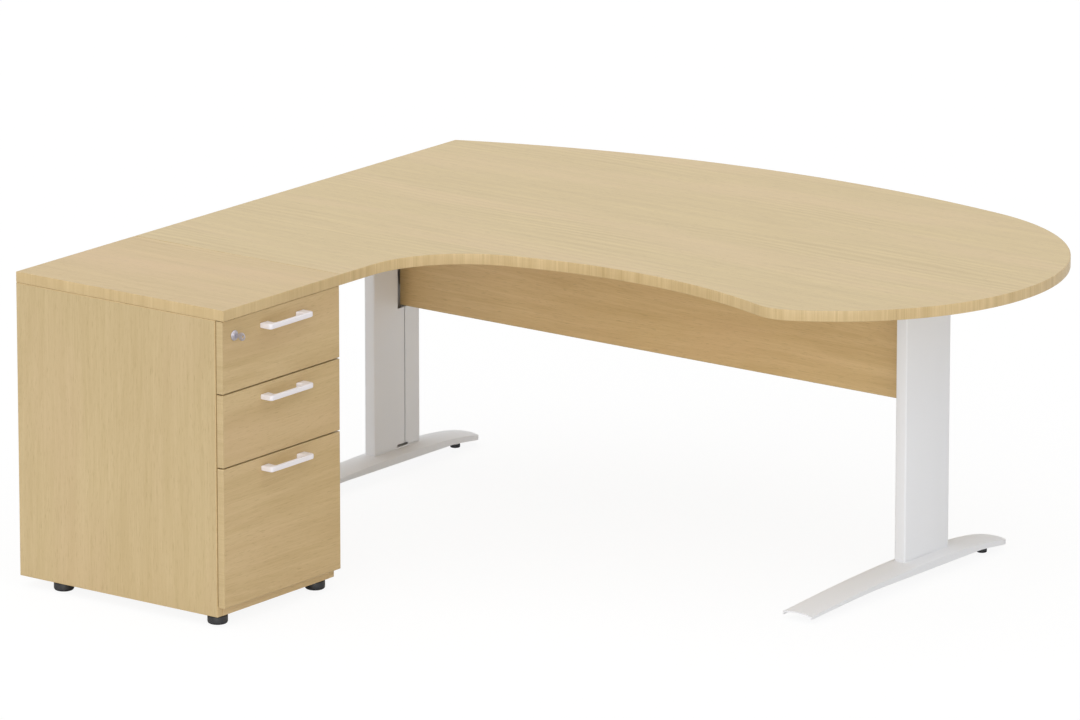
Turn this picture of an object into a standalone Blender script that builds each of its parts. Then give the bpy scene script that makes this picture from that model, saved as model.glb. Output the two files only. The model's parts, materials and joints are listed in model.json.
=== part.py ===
"""Executive corner desk: a D-ended worktop on two cantilever legs, carried at its left end by a
desk-high pedestal with two shallow drawers and a filing drawer.

Units are metres and +Z is up. Everything is laid out from the pedestal's near front corner on the
floor: x runs from the pedestal's front line along the desk, y runs away from the sitter. The empty
named desk then moves the whole so that its origin is the middle of the floor area that it covers.
"""
import math

import bmesh
import bpy
import numpy as np
from mathutils import Vector

# Overall
DESK_HEIGHT = 0.735
TOP_THICKNESS = 0.025
PANEL_THICKNESS = 0.018
BACK_THICKNESS = 0.015
SEAT_GAP = 0.0003
TOUCH_GAP = 0.0005
ARRIS_RADIUS = 0.0015
CUT_OVERRUN = 0.010
FACET_HEIGHT = 0.00012

# Worktop outline
PEDESTAL_DEPTH = 0.600
PEDESTAL_WIDTH = 0.420
WING_DEPTH = 1.200
WORKTOP_REACH = 1.300
VISITOR_BOW = 0.213
BOW_RUN = 1.005
BAY_DEPTH = 0.413
BAY_RUN = 0.518
BAY_RADIUS = 1.100
ELBOW_RADIUS = 0.262
NOSE_DROP = 0.122
NOSE_RADIUS = 0.107
TOP_JOINT_GAP = 0.0004

# Pedestal carcass
FLOOR_CLEARANCE = 0.0244
FRONT_OVERHANG = 0.004
FRONT_THICKNESS = 0.018
FRONT_SIDE_GAP = 0.001
BUMPER_GAP = 0.002
DRAWER_GAP = 0.003
DRAWER_TOP_GAP = 0.0015
SHALLOW_FRONT_HEIGHT = 0.1665
FRONT_FOOT_GAP = 0.0228

# Drawer trays
TRAY_SHEET = 0.0012
TRAY_LENGTH = 0.500
TRAY_LIP = 0.008
TRAY_RISE = 0.014
TRAY_HEADROOM = 0.066

# Drawer runners
RUNNER_SPACE = 0.0127
RUNNER_SHEET = 0.0012
RUNNER_HEIGHT = 0.036
RUNNER_NEST = 0.0004
RUNNER_LENGTH = 0.500
RUNNER_SETBACK = 0.033
RUNNER_RISE = 0.034
OUTER_DEPTH = 0.0095
MIDDLE_OFFSET = 0.0045
MIDDLE_DEPTH = 0.0062
INNER_DEPTH = 0.0058

# Handles
HANDLE_LENGTH = 0.157
HANDLE_HEIGHT = 0.0115
HANDLE_BAR = 0.008
HANDLE_LEG = 0.018
HANDLE_FOOT = 0.023
HANDLE_PROJECTION = 0.029
HANDLE_BEND = 0.010
HANDLE_SOFTENING = 0.0016
HANDLE_OFFSET = 0.0025
HANDLE_DROPS = (0.0340, 0.0295, 0.0230)

# Lock and lock bar
LOCK_FROM_SIDE = 0.043
LOCK_BELOW_TOP = 0.0395
ROSETTE_RADIUS = 0.012
ROSETTE_THICKNESS = 0.003
HOUSING_RADIUS = 0.009
HOUSING_PROJECTION = 0.006
BARREL_RADIUS = 0.0055
LOCK_CLEARANCE = 0.0003
CAM_RADIUS = 0.0105
CAM_THICKNESS = 0.002
CRANK_RADIUS = 0.008
CRANK_PIN_RADIUS = 0.002
CRANK_PIN_LENGTH = 0.009
CRANK_START_DEG = 45.0
SLOT_CLEARANCE = 0.00035
SLOT_END_CLEARANCE = 0.0008
KEY_STEM = 0.008
KEY_BOW_RADIUS = 0.0095
KEY_THICKNESS = 0.0022
KEY_BLADE_HEIGHT = 0.007
KEY_DEPTH = 0.014
KEY_HOLE_RADIUS = 0.003
BAR_SHEET = 0.002
BAR_WIDTH = 0.013
BAR_SETBACK = 0.004
BAR_HEAD_SETBACK = 0.002
BAR_END_MARGIN = 0.005
TAB_LENGTH = 0.0085
TAB_WIDTH = 0.003
TAB_HEIGHT = 0.008
CATCH_LENGTH = 0.0077
CATCH_SHEET = 0.0015
CATCH_FLANGE = 0.014
CATCH_HEIGHT = 0.009
CATCH_GAP = 0.001
CATCH_FROM_RIM = 0.012
TAB_DROP = 0.003
GUIDE_SHEET = 0.0012
GUIDE_CLEARANCE = 0.0004
GUIDE_FLANGE = 0.010
GUIDE_HEIGHT = 0.060
GUIDE_ABOVE_TAB = 0.050

# Pedestal feet
PED_FOOT_RADIUS = 0.0232
PED_FOOT_SIDE_INSET = 0.035
PED_FOOT_FRONT_INSET = 0.052
PED_FOOT_REAR_INSET = 0.100
PED_FOOT_ROUNDING = 0.006
PED_FOOT_NECK_RADIUS = 0.017
PED_FOOT_NECK_HEIGHT = 0.005
STEM_RADIUS = 0.004
STEM_CLEARANCE = 0.0003
PED_STEM_HEIGHT = 0.024

# Desk legs
LEG_SPAN = 1.5285
LEG_EDGE_INSET = 0.0372
LEG_WIDTH = 0.030
LEG_DEPTH = 0.1744
LEG_SHEET = 0.0015
LEG_CORNER_RADIUS = 0.004
LEG_SETBACK = 0.7986
COVER_START = 0.1182
COVER_SHEET = 0.0012
COVER_RETURN = 0.012
COVER_HOOK = 0.006
GROOVE_WIDTH = 0.0035
NOTCH_START = 0.0901
NOTCH_HEIGHT = 0.3925
CABLE_NOTCH_START = 0.0870
CABLE_NOTCH_END = 0.1275
CABLE_NOTCH_HEIGHT = 0.006

# Arched feet
FOOT_LENGTH = 0.795
FOOT_AHEAD = 0.3984
FOOT_HALF_WIDTH = 0.040
FOOT_WALL = 0.003
FOOT_TIP_LOW = 0.012
FOOT_ARCH_RISE = 0.013
FOOT_TIP_EDGE = 0.0192
FOOT_TAIL_EDGE = 0.0158
FOOT_CREST_EDGE = 0.043
FOOT_TIP_CROWN = 0.005
FOOT_TAIL_CROWN = 0.001
FOOT_CREST_CROWN = 0.0095
FOOT_FRONT_RAMP = 0.260
FOOT_REAR_RAMP = 0.130
FOOT_CREST_FRONT = 0.500
FOOT_CREST_REAR = 0.250
FOOT_RAMP_POWER = 1.3
FOOT_TAIL_POWER = 0.5
FOOT_TAIL_OPENING = 0.0004
FOOT_RIB_SHARES = (-0.5, 0.0, 0.5)
FOOT_RIB_START = 0.010
FOOT_RIB_END = 0.300
FOOT_RIB_SHEET = 0.002
FOOT_RIB_RISE = 0.004
FOOT_SEAT_HEIGHT = 0.0535
FOOT_PAD_DEPTH = 0.010
GLIDE_RADIUS = 0.012
GLIDE_HEIGHT = 0.008
GLIDE_ROUNDING = 0.002
GLIDE_STEM_HEIGHT = 0.014
GLIDE_BOSS_RADIUS = 0.009
GLIDE_FRONT_INSET = 0.066
GLIDE_REAR_INSET = 0.066

# Top arms, modesty panel and brackets
ARM_WIDTH = 0.040
ARM_HEIGHT = 0.028
ARM_SHEET = 0.002
ARM_FRONT_REACH = 0.300
ARM_REAR_REACH = 0.170
ARM_END_CUT = 0.016
MODESTY_SETBACK = 0.1146
MODESTY_BOTTOM = 0.3957
MODESTY_TOP_GAP = 0.002
MODESTY_ENTRY = 0.0126
BRACKET_SHEET = 0.002
END_BRACKET_FLANGE = 0.024
END_BRACKET_HEIGHT = 0.200
END_BRACKET_DROP = 0.040
TOP_BRACKET_FLANGE = 0.062
TOP_BRACKET_LENGTH = 0.060
TOP_BRACKET_SHARES = (0.30, 0.70)
JOIN_BRACKET_FLANGE = 0.050
JOIN_BRACKET_LENGTH = 0.080
JOIN_BRACKET_SHARES = (0.22, 0.78)

# Mesh fineness, as counts
ROUND_STEPS = 32
SMALL_ROUND_STEPS = 20
FOOT_RUN_STEPS = 22
FOOT_TAIL_STEPS = 7
FOOT_CROWN_STEPS = 10
FOOT_RIB_STEPS = 6
ARRIS_STEPS = 2

# Colours: base colour, roughness and metallic
OAK = ("oak_laminate", (0.62, 0.47, 0.29), 0.45, 0.0)
WHITE_STEEL = ("white_powder_coat", (0.66, 0.66, 0.65), 0.45, 0.0)
WHITE_HANDLE = ("white_handle", (0.78, 0.76, 0.78), 0.35, 0.0)
GREY_STEEL = ("grey_tray", (0.42, 0.43, 0.44), 0.5, 0.0)
ZINC = ("zinc_plate", (0.60, 0.61, 0.62), 0.35, 1.0)
NICKEL = ("nickel_lock", (0.58, 0.57, 0.56), 0.3, 1.0)
BLACK_PLASTIC = ("black_foot", (0.03, 0.03, 0.034), 0.5, 0.0)

# Heights and lines that follow from the sizes above
UNDERSIDE = DESK_HEIGHT - TOP_THICKNESS
CARCASS_TOP = UNDERSIDE - SEAT_GAP
FRONT_FACE = -FRONT_OVERHANG
FRONT_BACK = FRONT_FACE - FRONT_THICKNESS
CARCASS_FRONT = FRONT_BACK - BUMPER_GAP
BACK_LINE = -PEDESTAL_DEPTH
INNER_LEFT = PANEL_THICKNESS
INNER_RIGHT = PEDESTAL_WIDTH - PANEL_THICKNESS
BASE_TOP = FLOOR_CLEARANCE + PANEL_THICKNESS
LEFT_LEG_X = BACK_LINE + LEG_EDGE_INSET
RIGHT_LEG_X = LEFT_LEG_X + LEG_SPAN
LEG_FRONT = PEDESTAL_WIDTH + LEG_SETBACK
LEG_BOTTOM = FOOT_SEAT_HEIGHT + SEAT_GAP
ARM_TOP = UNDERSIDE - SEAT_GAP
LEG_TOP = ARM_TOP - ARM_SHEET - SEAT_GAP
LOCK_HEIGHT = UNDERSIDE - LOCK_BELOW_TOP
MODESTY_TOP = ARM_TOP - ARM_HEIGHT - MODESTY_TOP_GAP


def make_material(name, colour, roughness, metallic):
    """A Principled material with the piece's own colour."""
    material = bpy.data.materials.new(name)
    material.use_nodes = True
    shader = material.node_tree.nodes["Principled BSDF"]
    shader.inputs["Base Color"].default_value = (*colour, 1.0)
    shader.inputs["Roughness"].default_value = roughness
    shader.inputs["Metallic"].default_value = metallic
    return material


def new_empty(name, place=(0.0, 0.0, 0.0), parent=None):
    """An empty that carries the pieces of one moving assembly."""
    empty = bpy.data.objects.new(name, None)
    empty.location = place
    empty.parent = parent
    bpy.context.scene.collection.objects.link(empty)
    return empty


def add_piece(name, bm, finish, parent, origin=(0.0, 0.0, 0.0), smooth=False):
    """Turns a bmesh in desk coordinates into an object with its origin where the piece pivots."""
    bm.normal_update()
    bmesh.ops.recalc_face_normals(bm, faces=bm.faces)
    offset = Vector(origin)
    bmesh.ops.translate(bm, verts=bm.verts, vec=-offset)
    mesh = bpy.data.meshes.new(name)
    bm.to_mesh(mesh)
    bm.free()
    if smooth:
        mesh.shade_smooth()
        mesh.set_sharp_from_angle(angle=math.radians(35.0))
    if finish is not None:
        mesh.materials.append(make_material(name + "_" + finish[0], *finish[1:]))
    piece = bpy.data.objects.new(name, mesh)
    piece.parent = parent
    piece.location = offset - place_of(parent)
    bpy.context.scene.collection.objects.link(piece)
    return piece


def place_of(carrier):
    """Where an empty stands in desk coordinates, counting the empties that carry it."""
    place = Vector((0.0, 0.0, 0.0))
    while carrier is not None and carrier.name != "desk":
        place = place + carrier.location
        carrier = carrier.parent
    return place


def use_tool(piece, name, bm, operation):
    """Cuts or joins a hidden helper solid with an exact Boolean."""
    tool = add_piece(name, bm, None, piece.parent)
    tool.hide_render = True
    tool.display_type = "WIRE"
    modifier = piece.modifiers.new(name, "BOOLEAN")
    modifier.operation = operation
    modifier.solver = "EXACT"
    modifier.object = tool
    return tool


def cut(piece, name, bm):
    return use_tool(piece, name, bm, "DIFFERENCE")


def join(piece, name, bm):
    return use_tool(piece, name, bm, "UNION")


def soften(piece, radius, steps=ARRIS_STEPS):
    """Rounds the sharp edges of a board or bar."""
    bevel = piece.modifiers.new("softened_edges", "BEVEL")
    bevel.width = radius
    bevel.segments = steps
    bevel.limit_method = "ANGLE"
    bevel.angle_limit = math.radians(40.0)
    return piece


def box(low, high):
    """A box between two corners."""
    bm = bmesh.new()
    bmesh.ops.create_cube(bm, size=1.0)
    low, high = Vector(low), Vector(high)
    size = high - low
    for vertex in bm.verts:
        vertex.co = low + Vector([size[k] * (vertex.co[k] + 0.5) for k in range(3)])
    return bm


def prism(outline, axis, start, end):
    """An outline extruded along an axis: x takes (y, z) points, y takes (x, z), z takes (x, y)."""
    bm = bmesh.new()
    lift = {"x": lambda a, b, c: (c, a, b), "y": lambda a, b, c: (a, c, b), "z": lambda a, b, c: (a, b, c)}
    verts = [bm.verts.new(lift[axis](a, b, start)) for a, b in outline]
    face = bm.faces.new(verts)
    grown = bmesh.ops.extrude_face_region(bm, geom=[face])
    moved = [item for item in grown["geom"] if isinstance(item, bmesh.types.BMVert)]
    along = Vector(lift[axis](0.0, 0.0, end - start))
    bmesh.ops.translate(bm, verts=moved, vec=along)
    return bm


def turned(profile, centre, axis, steps=ROUND_STEPS):
    """A profile of (radius, height) points spun about an axis through centre, closed at its poles."""
    bm = bmesh.new()
    verts = [bm.verts.new((radius, 0.0, height)) for radius, height in profile]
    edges = [bm.edges.new(pair) for pair in zip(verts, verts[1:])]
    bmesh.ops.spin(bm, geom=verts + edges, cent=(0.0, 0.0, 0.0), axis=(0.0, 0.0, 1.0),
                   angle=math.tau, steps=steps, use_merge=True, use_duplicate=False)
    bmesh.ops.remove_doubles(bm, verts=bm.verts, dist=SEAT_GAP / 10.0)
    for vertex in bm.verts:
        x, y, z = vertex.co
        turned_point = {"x": (z, x, y), "z": (x, y, z)}[axis]
        vertex.co = Vector(centre) + Vector(turned_point)
    return bm


def rod(radius, start, end, centre, axis, steps=ROUND_STEPS):
    """A plain cylinder from start to end along an axis, measured from centre."""
    return turned([(0.0, start), (radius, start), (radius, end), (0.0, end)], centre, axis, steps)


def arc(centre, radius, start, end):
    """Points along an arc, close enough together to stay within the facet height."""
    step = 2.0 * math.acos(1.0 - FACET_HEIGHT / radius)
    count = max(2, math.ceil(abs(end - start) / step))
    angles = [start + (end - start) * k / count for k in range(count + 1)]
    return [(centre[0] + radius * math.cos(a), centre[1] + radius * math.sin(a)) for a in angles]


def heading(start, end):
    """The angle of the direction from one point to another."""
    return math.atan2(end[1] - start[1], end[0] - start[0])


def circles_meet(first, first_radius, second, second_radius):
    """The meeting point of two circles that lies nearer the sitter."""
    gap = math.dist(first, second)
    along = (first_radius ** 2 - second_radius ** 2 + gap ** 2) / (2.0 * gap)
    aside = math.sqrt(first_radius ** 2 - along ** 2)
    ux, uy = (second[0] - first[0]) / gap, (second[1] - first[1]) / gap
    points = [(first[0] + ux * along + side * uy * aside, first[1] + uy * along - side * ux * aside)
              for side in (1.0, -1.0)]
    return min(points, key=lambda point: point[1])


def worktop_arcs():
    """Centres and radii of the four arcs and two fillets that bound the main worktop.

    The visitor's side is one flat arc through the far left corner. The D end is a circle that
    touches that arc, the worktop's reach and the nose line. The sitter's bay is a hollow arc, with
    an elbow towards the pedestal and a rounded nose where it turns into the D end.
    """
    corner = (BACK_LINE, PEDESTAL_WIDTH + WING_DEPTH)
    visitor_radius = (BOW_RUN ** 2 + VISITOR_BOW ** 2) / (2.0 * VISITOR_BOW)
    visitor = (corner[0] + BOW_RUN, corner[1] + VISITOR_BOW - visitor_radius)
    bay_apex = PEDESTAL_WIDTH + BAY_DEPTH
    bay = (BAY_RUN, bay_apex - BAY_RADIUS)
    nose_line = bay_apex - NOSE_DROP
    across, up = WORKTOP_REACH - visitor[0], nose_line - visitor[1]
    middle = up - across + visitor_radius
    d_radius = -middle + math.sqrt(middle ** 2 - across ** 2 - up ** 2 + visitor_radius ** 2)
    d_end = (WORKTOP_REACH - d_radius, nose_line + d_radius)
    elbow_rise = math.sqrt((BAY_RADIUS - ELBOW_RADIUS) ** 2 - (bay[0] - ELBOW_RADIUS) ** 2)
    elbow = (ELBOW_RADIUS, bay[1] + elbow_rise)
    nose = circles_meet(bay, BAY_RADIUS + NOSE_RADIUS, d_end, d_radius - NOSE_RADIUS)
    return visitor, visitor_radius, d_end, d_radius, nose, bay, elbow


def overall_depth():
    """From the pedestal's near side to the crest of the visitor's arc."""
    return PEDESTAL_WIDTH + WING_DEPTH + VISITOR_BOW


def worktop_outline():
    """The main worktop seen from above, anticlockwise from the joint with the pedestal top."""
    visitor, visitor_radius, d_end, d_radius, nose, bay, elbow = worktop_arcs()
    joint = PEDESTAL_WIDTH + TOP_JOINT_GAP
    corner = (BACK_LINE, PEDESTAL_WIDTH + WING_DEPTH)
    touch = heading(visitor, d_end)
    points = [(BACK_LINE, joint), (0.0, joint)]
    points += arc(elbow, ELBOW_RADIUS, math.pi, heading(bay, elbow))
    points += arc(bay, BAY_RADIUS, heading(bay, elbow), heading(bay, nose))[1:]
    points += arc(nose, NOSE_RADIUS, heading(nose, bay) + math.tau, heading(d_end, nose) + math.tau)[1:]
    points += arc(d_end, d_radius, heading(d_end, nose), 0.0)[1:]
    points += arc(d_end, d_radius, 0.0, touch)[1:]
    points += arc(visitor, visitor_radius, touch, math.pi / 2.0)[1:]
    points += arc(visitor, visitor_radius, math.pi / 2.0, heading(visitor, corner))[1:-1]
    points.append(corner)
    return points


def build_tops(desk):
    bm = prism(worktop_outline(), "z", UNDERSIDE, DESK_HEIGHT)
    soften(add_piece("worktop_main", bm, OAK, desk, smooth=True), ARRIS_RADIUS)
    bm = box((BACK_LINE, 0.0, UNDERSIDE), (0.0, PEDESTAL_WIDTH, DESK_HEIGHT))
    soften(add_piece("pedestal_top", bm, OAK, desk), ARRIS_RADIUS)


def build_carcass(desk):
    """Two sides, an inset back and a base with a hole for each foot's screw."""
    front, back = CARCASS_FRONT, BACK_LINE
    for name, near, far in (("pedestal_side_left", 0.0, INNER_LEFT),
                            ("pedestal_side_right", INNER_RIGHT, PEDESTAL_WIDTH)):
        bm = box((back, near, FLOOR_CLEARANCE), (front, far, CARCASS_TOP))
        soften(add_piece(name, bm, OAK, desk), ARRIS_RADIUS)
    near, far = INNER_LEFT + SEAT_GAP, INNER_RIGHT - SEAT_GAP
    bm = box((back, near, BASE_TOP + SEAT_GAP), (back + BACK_THICKNESS, far, CARCASS_TOP))
    add_piece("pedestal_back", bm, OAK, desk)
    base = add_piece("pedestal_base", box((back, near, FLOOR_CLEARANCE), (front, far, BASE_TOP)), OAK, desk)
    for index, (x, y) in enumerate(pedestal_foot_places()):
        hole = rod(STEM_RADIUS + STEM_CLEARANCE, FLOOR_CLEARANCE - CUT_OVERRUN, BASE_TOP + CUT_OVERRUN,
                   (x, y, 0.0), "z", SMALL_ROUND_STEPS)
        cut(base, "foot_screw_hole_%d" % (index + 1), hole)


def pedestal_foot_places():
    front = -PED_FOOT_FRONT_INSET
    rear = BACK_LINE + PED_FOOT_REAR_INSET
    near, far = PED_FOOT_SIDE_INSET, PEDESTAL_WIDTH - PED_FOOT_SIDE_INSET
    return [(front, near), (front, far), (rear, near), (rear, far)]


def rounded_corner(radius_out, radius, steps=4):
    """Points of a quarter round that turns from the floor up to the wall of a turned foot."""
    angles = [-math.pi / 2.0 + math.pi / 2.0 * k / steps for k in range(steps + 1)]
    return [(radius_out - radius + radius * math.cos(a), radius + radius * math.sin(a)) for a in angles]


def build_pedestal_feet(desk):
    """Round levelling feet, each with a neck under the base and a screw through it."""
    names = ("front_left", "front_right", "rear_left", "rear_right")
    neck = FLOOR_CLEARANCE - SEAT_GAP
    shoulder = neck - PED_FOOT_NECK_HEIGHT
    top = neck + PED_STEM_HEIGHT
    profile = [(0.0, 0.0)] + rounded_corner(PED_FOOT_RADIUS, PED_FOOT_ROUNDING)
    profile += [(PED_FOOT_RADIUS, shoulder), (PED_FOOT_NECK_RADIUS, neck)]
    profile += [(STEM_RADIUS, neck), (STEM_RADIUS, top), (0.0, top)]
    for name, (x, y) in zip(names, pedestal_foot_places()):
        bm = turned(profile, (x, y, 0.0), "z")
        add_piece("pedestal_foot_" + name, bm, BLACK_PLASTIC, desk, (x, y, 0.0), smooth=True)


def drawer_spans():
    """Bottom and top of each drawer front, from the top drawer down."""
    top = UNDERSIDE - DRAWER_TOP_GAP
    spans = []
    for _ in range(2):
        spans.append((top - SHALLOW_FRONT_HEIGHT, top))
        top -= SHALLOW_FRONT_HEIGHT + DRAWER_GAP
    spans.append((FLOOR_CLEARANCE + FRONT_FOOT_GAP, top))
    return spans


def handle_outline(centre_y):
    """A bow handle seen from above: a straight grip, two round bends and broad legs that widen to the drawer."""
    foot = FRONT_FACE + SEAT_GAP
    grip = foot + HANDLE_PROJECTION
    low, high = centre_y - HANDLE_LENGTH / 2.0, centre_y + HANDLE_LENGTH / 2.0
    inner, turn = HANDLE_BEND - HANDLE_BAR, handle_inner_turn()
    aside = inner + HANDLE_LEG
    outline = [(foot, low)]
    outline += arc((grip - HANDLE_BEND, low + HANDLE_BEND), HANDLE_BEND, -math.pi / 2.0, 0.0)
    outline += arc((grip - HANDLE_BEND, high - HANDLE_BEND), HANDLE_BEND, 0.0, math.pi / 2.0)
    outline += [(foot, high), (foot, high - HANDLE_FOOT)]
    outline += arc((grip - HANDLE_BEND, high - aside), inner, turn, 0.0)
    outline += arc((grip - HANDLE_BEND, low + aside), inner, 0.0, -turn)
    outline.append((foot, low + HANDLE_FOOT))
    return outline


def handle_inner_turn():
    """How far the inner round of a bend turns until it touches the leg's slanted inner side."""
    inner = HANDLE_BEND - HANDLE_BAR
    back, aside = HANDLE_PROJECTION - HANDLE_BEND, HANDLE_FOOT - HANDLE_LEG - inner
    touch = math.acos(inner / math.hypot(back, aside))
    return math.tau - math.atan2(aside, -back) - touch


def build_tray(name, drawer, bottom, top, origin):
    """A folded steel tray with inturned rims and a catch for the lock bar on its left side."""
    near, far = INNER_LEFT + RUNNER_SPACE, INNER_RIGHT - RUNNER_SPACE
    front, back = FRONT_BACK - SEAT_GAP, FRONT_BACK - SEAT_GAP - TRAY_LENGTH
    tray = add_piece(name, box((back, near, bottom), (front, far, top)), GREY_STEEL, drawer, origin)
    inside = box((back + TRAY_SHEET, near + TRAY_SHEET, bottom + TRAY_SHEET),
                 (front - TRAY_SHEET, far - TRAY_SHEET, top - TRAY_SHEET))
    cut(tray, name + "_inside", inside)
    mouth = box((back + TRAY_SHEET, near + TRAY_LIP, top - 2.0 * TRAY_SHEET),
                (front - TRAY_SHEET, far - TRAY_LIP, top + CUT_OVERRUN))
    cut(tray, name + "_mouth", mouth)
    return build_catch(name.replace("tray", "lock_catch"), drawer, near - SEAT_GAP, top - CATCH_FROM_RIM, origin)


def build_catch(name, drawer, seat, high, origin):
    """An angle on the tray's left side, whose blade stands just behind a tab of the lock bar."""
    blade = bar_back() - CATCH_GAP
    outline = [(blade, seat), (blade, seat - CATCH_LENGTH), (blade - CATCH_SHEET, seat - CATCH_LENGTH),
               (blade - CATCH_SHEET, seat - CATCH_SHEET), (blade - CATCH_FLANGE, seat - CATCH_SHEET),
               (blade - CATCH_FLANGE, seat)]
    add_piece(name, prism(outline, "z", high - CATCH_HEIGHT, high), ZINC, drawer, origin)
    return high - CATCH_HEIGHT


def bar_back():
    """The rear edge of the lock bar and of its tabs."""
    return CARCASS_FRONT - BAR_SETBACK - BAR_WIDTH


def channel(web, depth, height, sheet, middle):
    """A channel section in (y, z): depth is signed, from the web's outer face to the flange tips."""
    inward = math.copysign(sheet, depth)
    low, high = middle - height / 2.0, middle + height / 2.0
    return [(web, low), (web + depth, low), (web + depth, low + sheet), (web + inward, low + sheet),
            (web + inward, high - sheet), (web + depth, high - sheet), (web + depth, high), (web, high)]


def build_runners(name, cabinet, drawer, middle_carrier, height_mid, origin):
    """Nested slide members on both sides: one on the cabinet, one on the tray, a third between."""
    front = CARCASS_FRONT - RUNNER_SETBACK
    back = front - RUNNER_LENGTH
    nested = 2.0 * (RUNNER_SHEET + RUNNER_NEST)
    for side, wall, sign in (("left", INNER_LEFT, 1.0), ("right", INNER_RIGHT, -1.0)):
        outer = channel(wall + sign * SEAT_GAP, sign * OUTER_DEPTH, RUNNER_HEIGHT, RUNNER_SHEET, height_mid)
        label = "_%s_%s" % (name, side)
        add_piece("cabinet_runner" + label, prism(outer, "x", back, front), ZINC, cabinet)
        height = RUNNER_HEIGHT - nested
        if middle_carrier is not None:
            middle = channel(wall + sign * MIDDLE_OFFSET, sign * MIDDLE_DEPTH, height, RUNNER_SHEET, height_mid)
            add_piece("middle_runner" + label, prism(middle, "x", back, front), ZINC, middle_carrier, origin)
            height -= nested
        web = wall + sign * (RUNNER_SPACE - SEAT_GAP)
        inner = channel(web, -sign * INNER_DEPTH, height, RUNNER_SHEET, height_mid)
        add_piece("drawer_runner" + label, prism(inner, "x", back, front), ZINC, drawer, origin)


def build_drawers(desk):
    """Fronts, handles, trays and runners; returns the tab heights for the lock bar."""
    names = ("top", "middle", "filing")
    carriers, catches = [], []
    for name, drop, (low, high) in zip(names, HANDLE_DROPS, drawer_spans()):
        origin = (FRONT_BACK, PEDESTAL_WIDTH / 2.0, low)
        drawer = new_empty("drawer_%s_slide" % name, origin, desk)
        carriers.append(drawer)
        bm = box((FRONT_BACK, FRONT_SIDE_GAP, low), (FRONT_FACE, PEDESTAL_WIDTH - FRONT_SIDE_GAP, high))
        front = soften(add_piece("drawer_front_" + name, bm, OAK, drawer, origin), ARRIS_RADIUS)
        if name == "top":
            hole = rod(HOUSING_RADIUS + LOCK_CLEARANCE, -CUT_OVERRUN, FRONT_THICKNESS + CUT_OVERRUN,
                       (FRONT_BACK, LOCK_FROM_SIDE, LOCK_HEIGHT), "x")
            cut(front, "lock_hole", hole)
        grip = high - drop
        outline = handle_outline(PEDESTAL_WIDTH / 2.0 + HANDLE_OFFSET)
        bm = prism(outline, "z", grip - HANDLE_HEIGHT / 2.0, grip + HANDLE_HEIGHT / 2.0)
        handle = add_piece("handle_" + name, bm, WHITE_HANDLE, drawer, origin, smooth=True)
        soften(handle, HANDLE_SOFTENING)
        catches.append(build_tray("tray_" + name, drawer, low + TRAY_RISE, high - TRAY_HEADROOM, origin))
        between = new_empty("filing_middle_slide", origin, desk) if name == "filing" else None
        build_runners(name, desk, drawer, between, low + RUNNER_RISE, origin)
    return carriers, catches


def build_lock(desk, drawer, catches):
    """A cam lock in the top drawer front, whose crank pin lifts a lock bar on the left side panel."""
    centre = (FRONT_FACE, LOCK_FROM_SIDE, LOCK_HEIGHT)
    bore = BARREL_RADIUS + LOCK_CLEARANCE
    rim = HOUSING_PROJECTION
    seat = SEAT_GAP
    profile = [(bore, -FRONT_THICKNESS), (HOUSING_RADIUS, -FRONT_THICKNESS), (HOUSING_RADIUS, seat),
               (ROSETTE_RADIUS, seat), (ROSETTE_RADIUS, seat + ROSETTE_THICKNESS / 2.0),
               (HOUSING_RADIUS + ROSETTE_THICKNESS / 2.0, seat + ROSETTE_THICKNESS), (HOUSING_RADIUS, rim),
               (bore, rim), (bore, -FRONT_THICKNESS)]
    add_piece("lock_housing", turned(profile, centre, "x"), NICKEL, drawer, centre, smooth=True)

    turn = new_empty("lock_turn", Vector(centre) - place_of(drawer), drawer)
    cam_front = -FRONT_THICKNESS - LOCK_CLEARANCE
    cam_back = cam_front - CAM_THICKNESS
    profile = [(0.0, cam_back), (CAM_RADIUS, cam_back), (CAM_RADIUS, cam_front), (BARREL_RADIUS, cam_front),
               (BARREL_RADIUS, rim), (0.0, rim)]
    barrel = add_piece("lock_barrel", turned(profile, centre, "x"), NICKEL, turn, centre, smooth=True)
    start = math.radians(CRANK_START_DEG)
    pin = (FRONT_FACE, LOCK_FROM_SIDE - CRANK_RADIUS * math.cos(start), LOCK_HEIGHT - CRANK_RADIUS * math.sin(start))
    crank = rod(CRANK_PIN_RADIUS, cam_back - CRANK_PIN_LENGTH, cam_back + CAM_THICKNESS / 2.0, pin, "x",
                SMALL_ROUND_STEPS)
    join(barrel, "crank_pin", crank)
    half = KEY_THICKNESS / 2.0
    keyway = box((FRONT_FACE + rim - KEY_DEPTH, LOCK_FROM_SIDE - half - LOCK_CLEARANCE,
                  LOCK_HEIGHT - KEY_BLADE_HEIGHT / 2.0 - LOCK_CLEARANCE),
                 (FRONT_FACE + rim + CUT_OVERRUN, LOCK_FROM_SIDE + half + LOCK_CLEARANCE,
                  LOCK_HEIGHT + KEY_BLADE_HEIGHT / 2.0 + LOCK_CLEARANCE))
    cut(barrel, "keyway", keyway)
    build_key(turn, centre)
    build_lock_bar(desk, pin, catches)


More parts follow.
